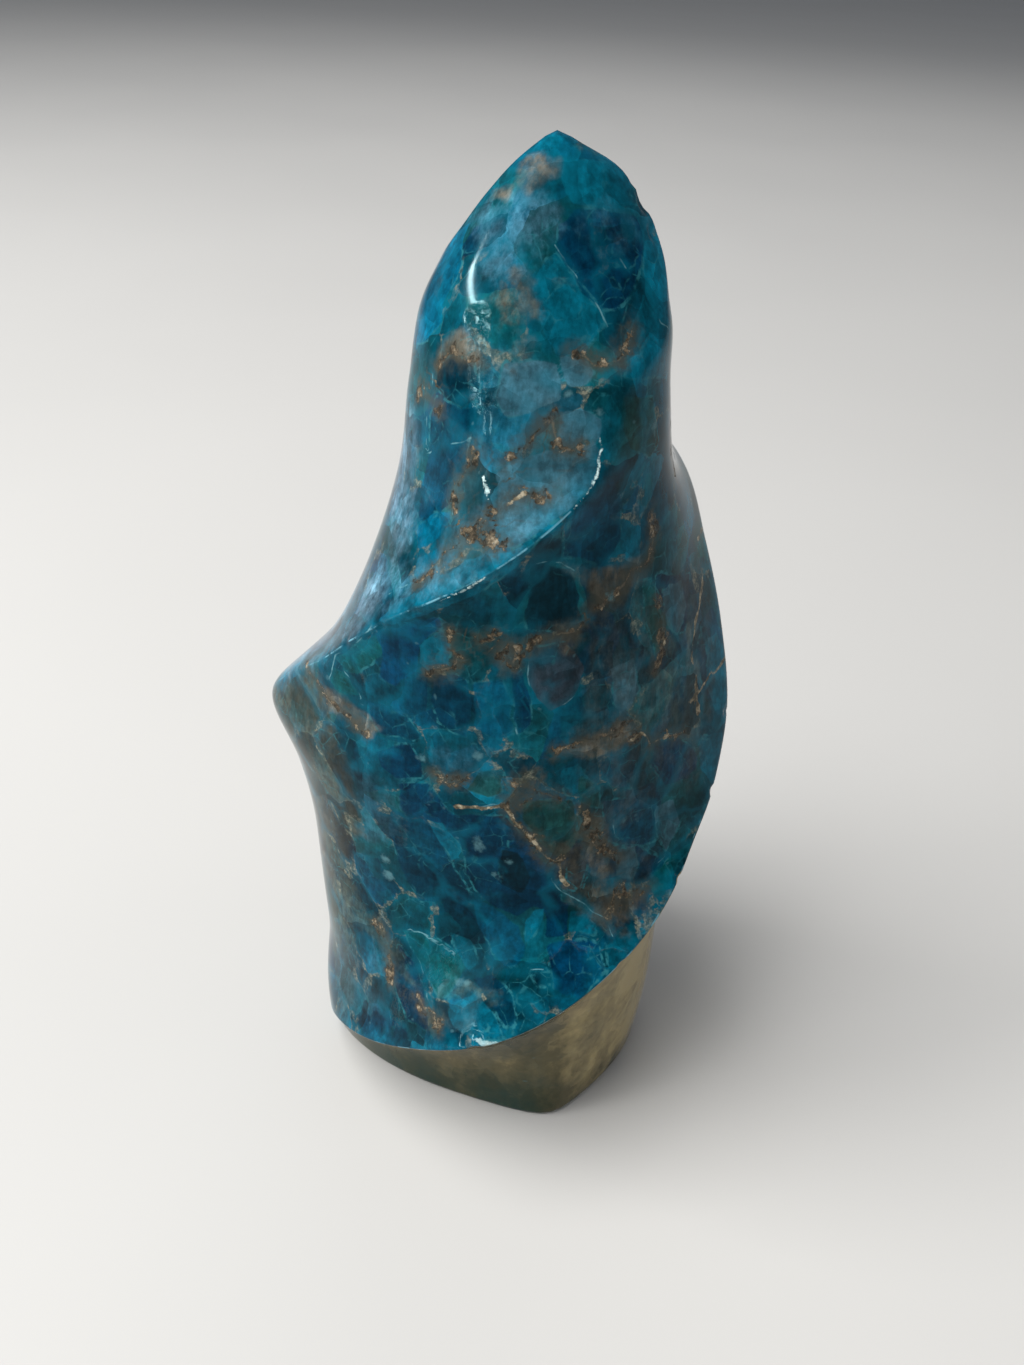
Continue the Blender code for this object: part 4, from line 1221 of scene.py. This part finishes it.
def findPlaces(apatite):
    # the place in mm, and the large and small crystals and the dots round it
    look = apatiteLook
    objectPlace = apatite.node("TexCoord")["Object"]
    apatite.place = apatite.node("Mapping", {"Vector": objectPlace, "Scale": [1.0 / mm] * 3})["Vector"]
    near = apatite.place
    for wander in ("wideWander", "nearWander"):
        length, amount = look[wander]
        near = apatite.effect("wanderPlace", {"Place": near, "Length": length, "Amount": amount})["Place"]
    for kind in ("block", "grain"):
        crystal = apatite.effect("crystalBlocks", {"Place": near, "Size": look[kind + "Size"]})
        for part in ("Tone", "Hue", "Side", "Border"):
            apatite.values[kind + part] = crystal[part]
    dots = apatite.node("TexVoronoi", {"Vector": near, "Scale": 1.0 / look["dotSize"]})
    parts = apatite.node("SeparateXYZ", {"Vector": apatite.place})
    kinds = apatite.node("SeparateColor", {"Color": dots["Color"]})
    apatite.values.update(dotDistance=dots["Distance"], dotKind=kinds["Blue"], x=parts["X"], z=parts["Z"])


def layCrystals(apatite):
    # the body colour: procedural crystals, then the drawn ones over them
    look = apatiteLook
    apatite.colour = apatite.tones(apatite.value("bodyTone"), look["bodyTones"])
    apatite.lay("greener")
    strength, softness, ragged = look["crystalCover"]
    rims = inside = 0.0
    for name, tint in look["crystalColours"].items():
        patch = apatite.patch(name, softness, ragged)
        apatite.colour = apatite.blend(apatite.times(patch["Area"], strength), apatite.colour, tint)
        rims = apatite.math("MAXIMUM", rims, patch["Rim"])
        inside = apatite.math("MAXIMUM", inside, patch["Area"])
    apatite.values.update(rims=rims, inside=inside)


def layClouds(apatite):
    # the drawn stains and clouds, and the painted reflections among them
    look = apatiteLook
    for name, (tint, strength, softness, ragged, thinnest) in look["cloudColours"].items():
        span = (*look["cloudSpan"], thinnest, 1.0)
        uneven = apatite.speckle(**look["cloudNoise"], shift=(len(name), 0, 9), span=span)
        share = apatite.times(apatite.patch(name, softness, ragged)["Area"], uneven, strength)
        apatite.colour = apatite.blend(share, apatite.colour, tint)


def shadeCrystals(apatite):
    # light and dark sides, fine fibres and a fine mottle inside the crystals, and painted shade that darkens
    # the stone lower down
    sides = apatite.times(apatite.value("sideStrength"), apatite.value("blockShade"))
    fine = map(apatite.value, ("grainShade", "toneShade", "fibres", "fineMottle", "heightShade"))
    shade = apatite.times(apatite.math("ADD", sides, 1.0), *fine)
    grey = apatite.node("CombineColor", dict.fromkeys(("Red", "Green", "Blue"), shade))["Color"]
    for tint in (grey, apatiteLook["cast"]):
        apatite.colour = apatite.blend(1.0, apatite.colour, tint, "MULTIPLY")


def mixMasks(apatite):
    # masks that are made from two others
    value, values = apatite.value, apatite.values
    rims = apatite.times(value("rims"), apatiteLook["patchRim"])
    values["line"] = apatite.math("MAXIMUM", value("grainLine"), rims)
    dots = apatite.times(value("dot"), value("dotChosen"))
    values["spots"] = apatite.math("MAXIMUM", value("fleckMark"), dots)
    values["marks"] = apatite.math("MAXIMUM", value("crack"), value("fleckMark"))
    values["rustPits"] = apatite.times(value("rust"), apatite.math("SUBTRACT", 1.0, value("rustGrit")))
    values["scuffPits"] = apatite.times(value("scuffed"), value("pits"))
    values["fineGrain"] = apatite.times(value("polishGrain"), value("smear"))


def apatiteMaterial():
    look = apatiteLook
    material, apatite = newMaterial("polishedApatite")
    findPlaces(apatite)
    layCrystals(apatite)
    mixMasks(apatite)
    # painted glow near the ridge crests, then milky clouds
    apatite.lay("glow", "milk")
    layClouds(apatite)
    shadeCrystals(apatite)
    apatite.lay("rimLight", "vein", "line", "foot", "halo", "crack", "stain", "skirt", "thread")
    apatite.lay("rust", "cream", "spots", "wear", "white")
    relief = {"Height": apatite.value("relief"), "Distance": mm, "Strength": look["reliefStrength"]}
    apatite.finish({
        "Base Color": apatite.colour,
        "Roughness": apatite.value("roughness"),
        "Normal": apatite.node("Bump", relief)["Normal"],
        "IOR": look["refraction"],
        "Specular IOR Level": look["gloss"],
        "Specular Tint": (*look["sheen"], 1.0),
        "Metallic": 0.0,
    })
    return material


stoneMesh.materials.append(apatiteMaterial())
stone = bpy.data.objects.new("stone", stoneMesh)
bpy.context.collection.objects.link(stone)
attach(stone, "root")
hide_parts("flame")
print("stone finished")


room = {
    "floorSize": 7.0,
    "floorColour": (0.47, 0.46, 0.44),
    "floorDarker": 0.97,
    "floorNoise": {"Scale": 5.0, "Detail": 3.0},
    "floorRoughness": (0.3, 0.7, 0.55, 0.65),
    "skyColour": (0.84, 0.90, 1.0),
    "skyStrength": 0.22,
    # each lamp: azimuth and elevation it stands at, distance, width, length, lean, power
    "lamps": {
        "overhead": (-160.0, 66.0, 1.30, 0.90, 0.80, 0.0, 23.0),
        "front": (-100.0, 27.0, 1.30, 1.00, 0.70, 0.0, 0.4),
        "right": (-4.0, 9.0, 1.30, 0.80, 0.80, 0.0, 4.8),
        "back": (84.0, 38.0, 1.40, 1.00, 0.80, 0.0, 3.0),
        "windowHigh": (-173.8, 26.5, 1.20, 0.036, 0.70, 84.0, 9.6),
        "windowMid": (-160.0, 19.5, 1.20, 0.026, 0.50, 50.0, 3.4),
        "windowLow": (-131.0, 8.7, 1.20, 0.026, 0.72, 61.0, 3.2),
        "windowFar": (-141.0, 4.5, 1.20, 0.013, 0.60, 68.0, 1.8),
        "windowThin": (-151.0, 6.2, 1.20, 0.012, 0.30, 60.0, 2.4),
    },
    "lampAim": (0.0, 0.0, 0.10),
    "unreflected": ("overhead", "front", "right", "back"),
}


def floorMaterial():
    material, floor = newMaterial("paleFloor")
    place = floor.node("TexCoord")["Object"]
    cloud = floor.node("TexNoise", {"Vector": place, **room["floorNoise"]})["Fac"]
    darker = [value * room["floorDarker"] for value in room["floorColour"]]
    colour = floor.blend(cloud, darker, room["floorColour"])
    floor.finish({"Base Color": colour, "Roughness": floor.ease(cloud, *room["floorRoughness"])})
    return material


def layFloor():
    bm = bmesh.new()
    bmesh.ops.create_grid(bm, x_segments=2, y_segments=2, size=room["floorSize"])
    mesh = bpy.data.meshes.new("floor")
    bm.to_mesh(mesh)
    bm.free()
    mesh.materials.append(floorMaterial())
    floor = bpy.data.objects.new("floor", mesh)
    bpy.context.collection.objects.link(floor)


def hangLamps():
    for name, (azimuth, elevation, distance, width, length, lean, power) in room["lamps"].items():
        lamp = bpy.data.lights.new(name, "AREA")
        lamp.shape = "RECTANGLE"
        lamp.size = width
        lamp.size_y = length
        lamp.energy = power
        holder = bpy.data.objects.new(name, lamp)
        turn, rise = math.radians(azimuth), math.radians(elevation)
        toLamp = Vector((math.cos(rise) * math.cos(turn), math.cos(rise) * math.sin(turn), math.sin(rise)))
        holder.location = Vector(room["lampAim"]) + toLamp * distance
        leaning = Quaternion((0.0, 0.0, 1.0), math.radians(lean))
        holder.rotation_euler = (toLamp.to_track_quat("Z", "Y") @ leaning).to_euler()
        holder.visible_glossy = name not in room["unreflected"]
        bpy.context.collection.objects.link(holder)


def lightSky():
    world = bpy.data.worlds.new("studio")
    world.use_nodes = True
    backdrop = world.node_tree.nodes["Background"]
    backdrop.inputs["Color"].default_value = (*room["skyColour"], 1.0)
    backdrop.inputs["Strength"].default_value = room["skyStrength"]
    bpy.context.scene.world = world
    bpy.context.scene.view_settings.view_transform = "Standard"


layFloor()
hangLamps()
lightSky()
print("floor and lights ready")


# The viewpoint: place in mm, how far it looks down and how far it is rolled, in degrees.
viewpoint = {
    "place": (2.03, -134.34, 171.0),
    "pitch": 35.5,
    "roll": 3.3,
    "focalPixels": 1118.5,
    "pixelsHigh": 1365.0,
    "sensor": 36.0,
    "clipStart": 0.005,
    "clipEnd": 50.0,
}


def setCamera():
    pitch, roll = math.radians(viewpoint["pitch"]), math.radians(viewpoint["roll"])
    ahead = Vector((0.0, math.cos(pitch), -math.sin(pitch)))
    level = Vector((0.0, math.sin(pitch), math.cos(pitch)))
    side = Vector((1.0, 0.0, 0.0))
    right = math.cos(roll) * side + math.sin(roll) * level
    up = -math.sin(roll) * side + math.cos(roll) * level
    turn = Matrix((right, up, -ahead)).transposed().to_4x4()
    camera = bpy.data.cameras.new("camera")
    camera.sensor_fit = "VERTICAL"
    camera.sensor_height = viewpoint["sensor"]
    camera.lens = viewpoint["sensor"] * viewpoint["focalPixels"] / viewpoint["pixelsHigh"]
    camera.clip_start = viewpoint["clipStart"]
    camera.clip_end = viewpoint["clipEnd"]
    holder = bpy.data.objects.new("camera", camera)
    holder.matrix_world = Matrix.Translation(Vector(viewpoint["place"]) * mm) @ turn
    bpy.context.collection.objects.link(holder)
    bpy.context.scene.camera = holder


setCamera()
print("camera set")
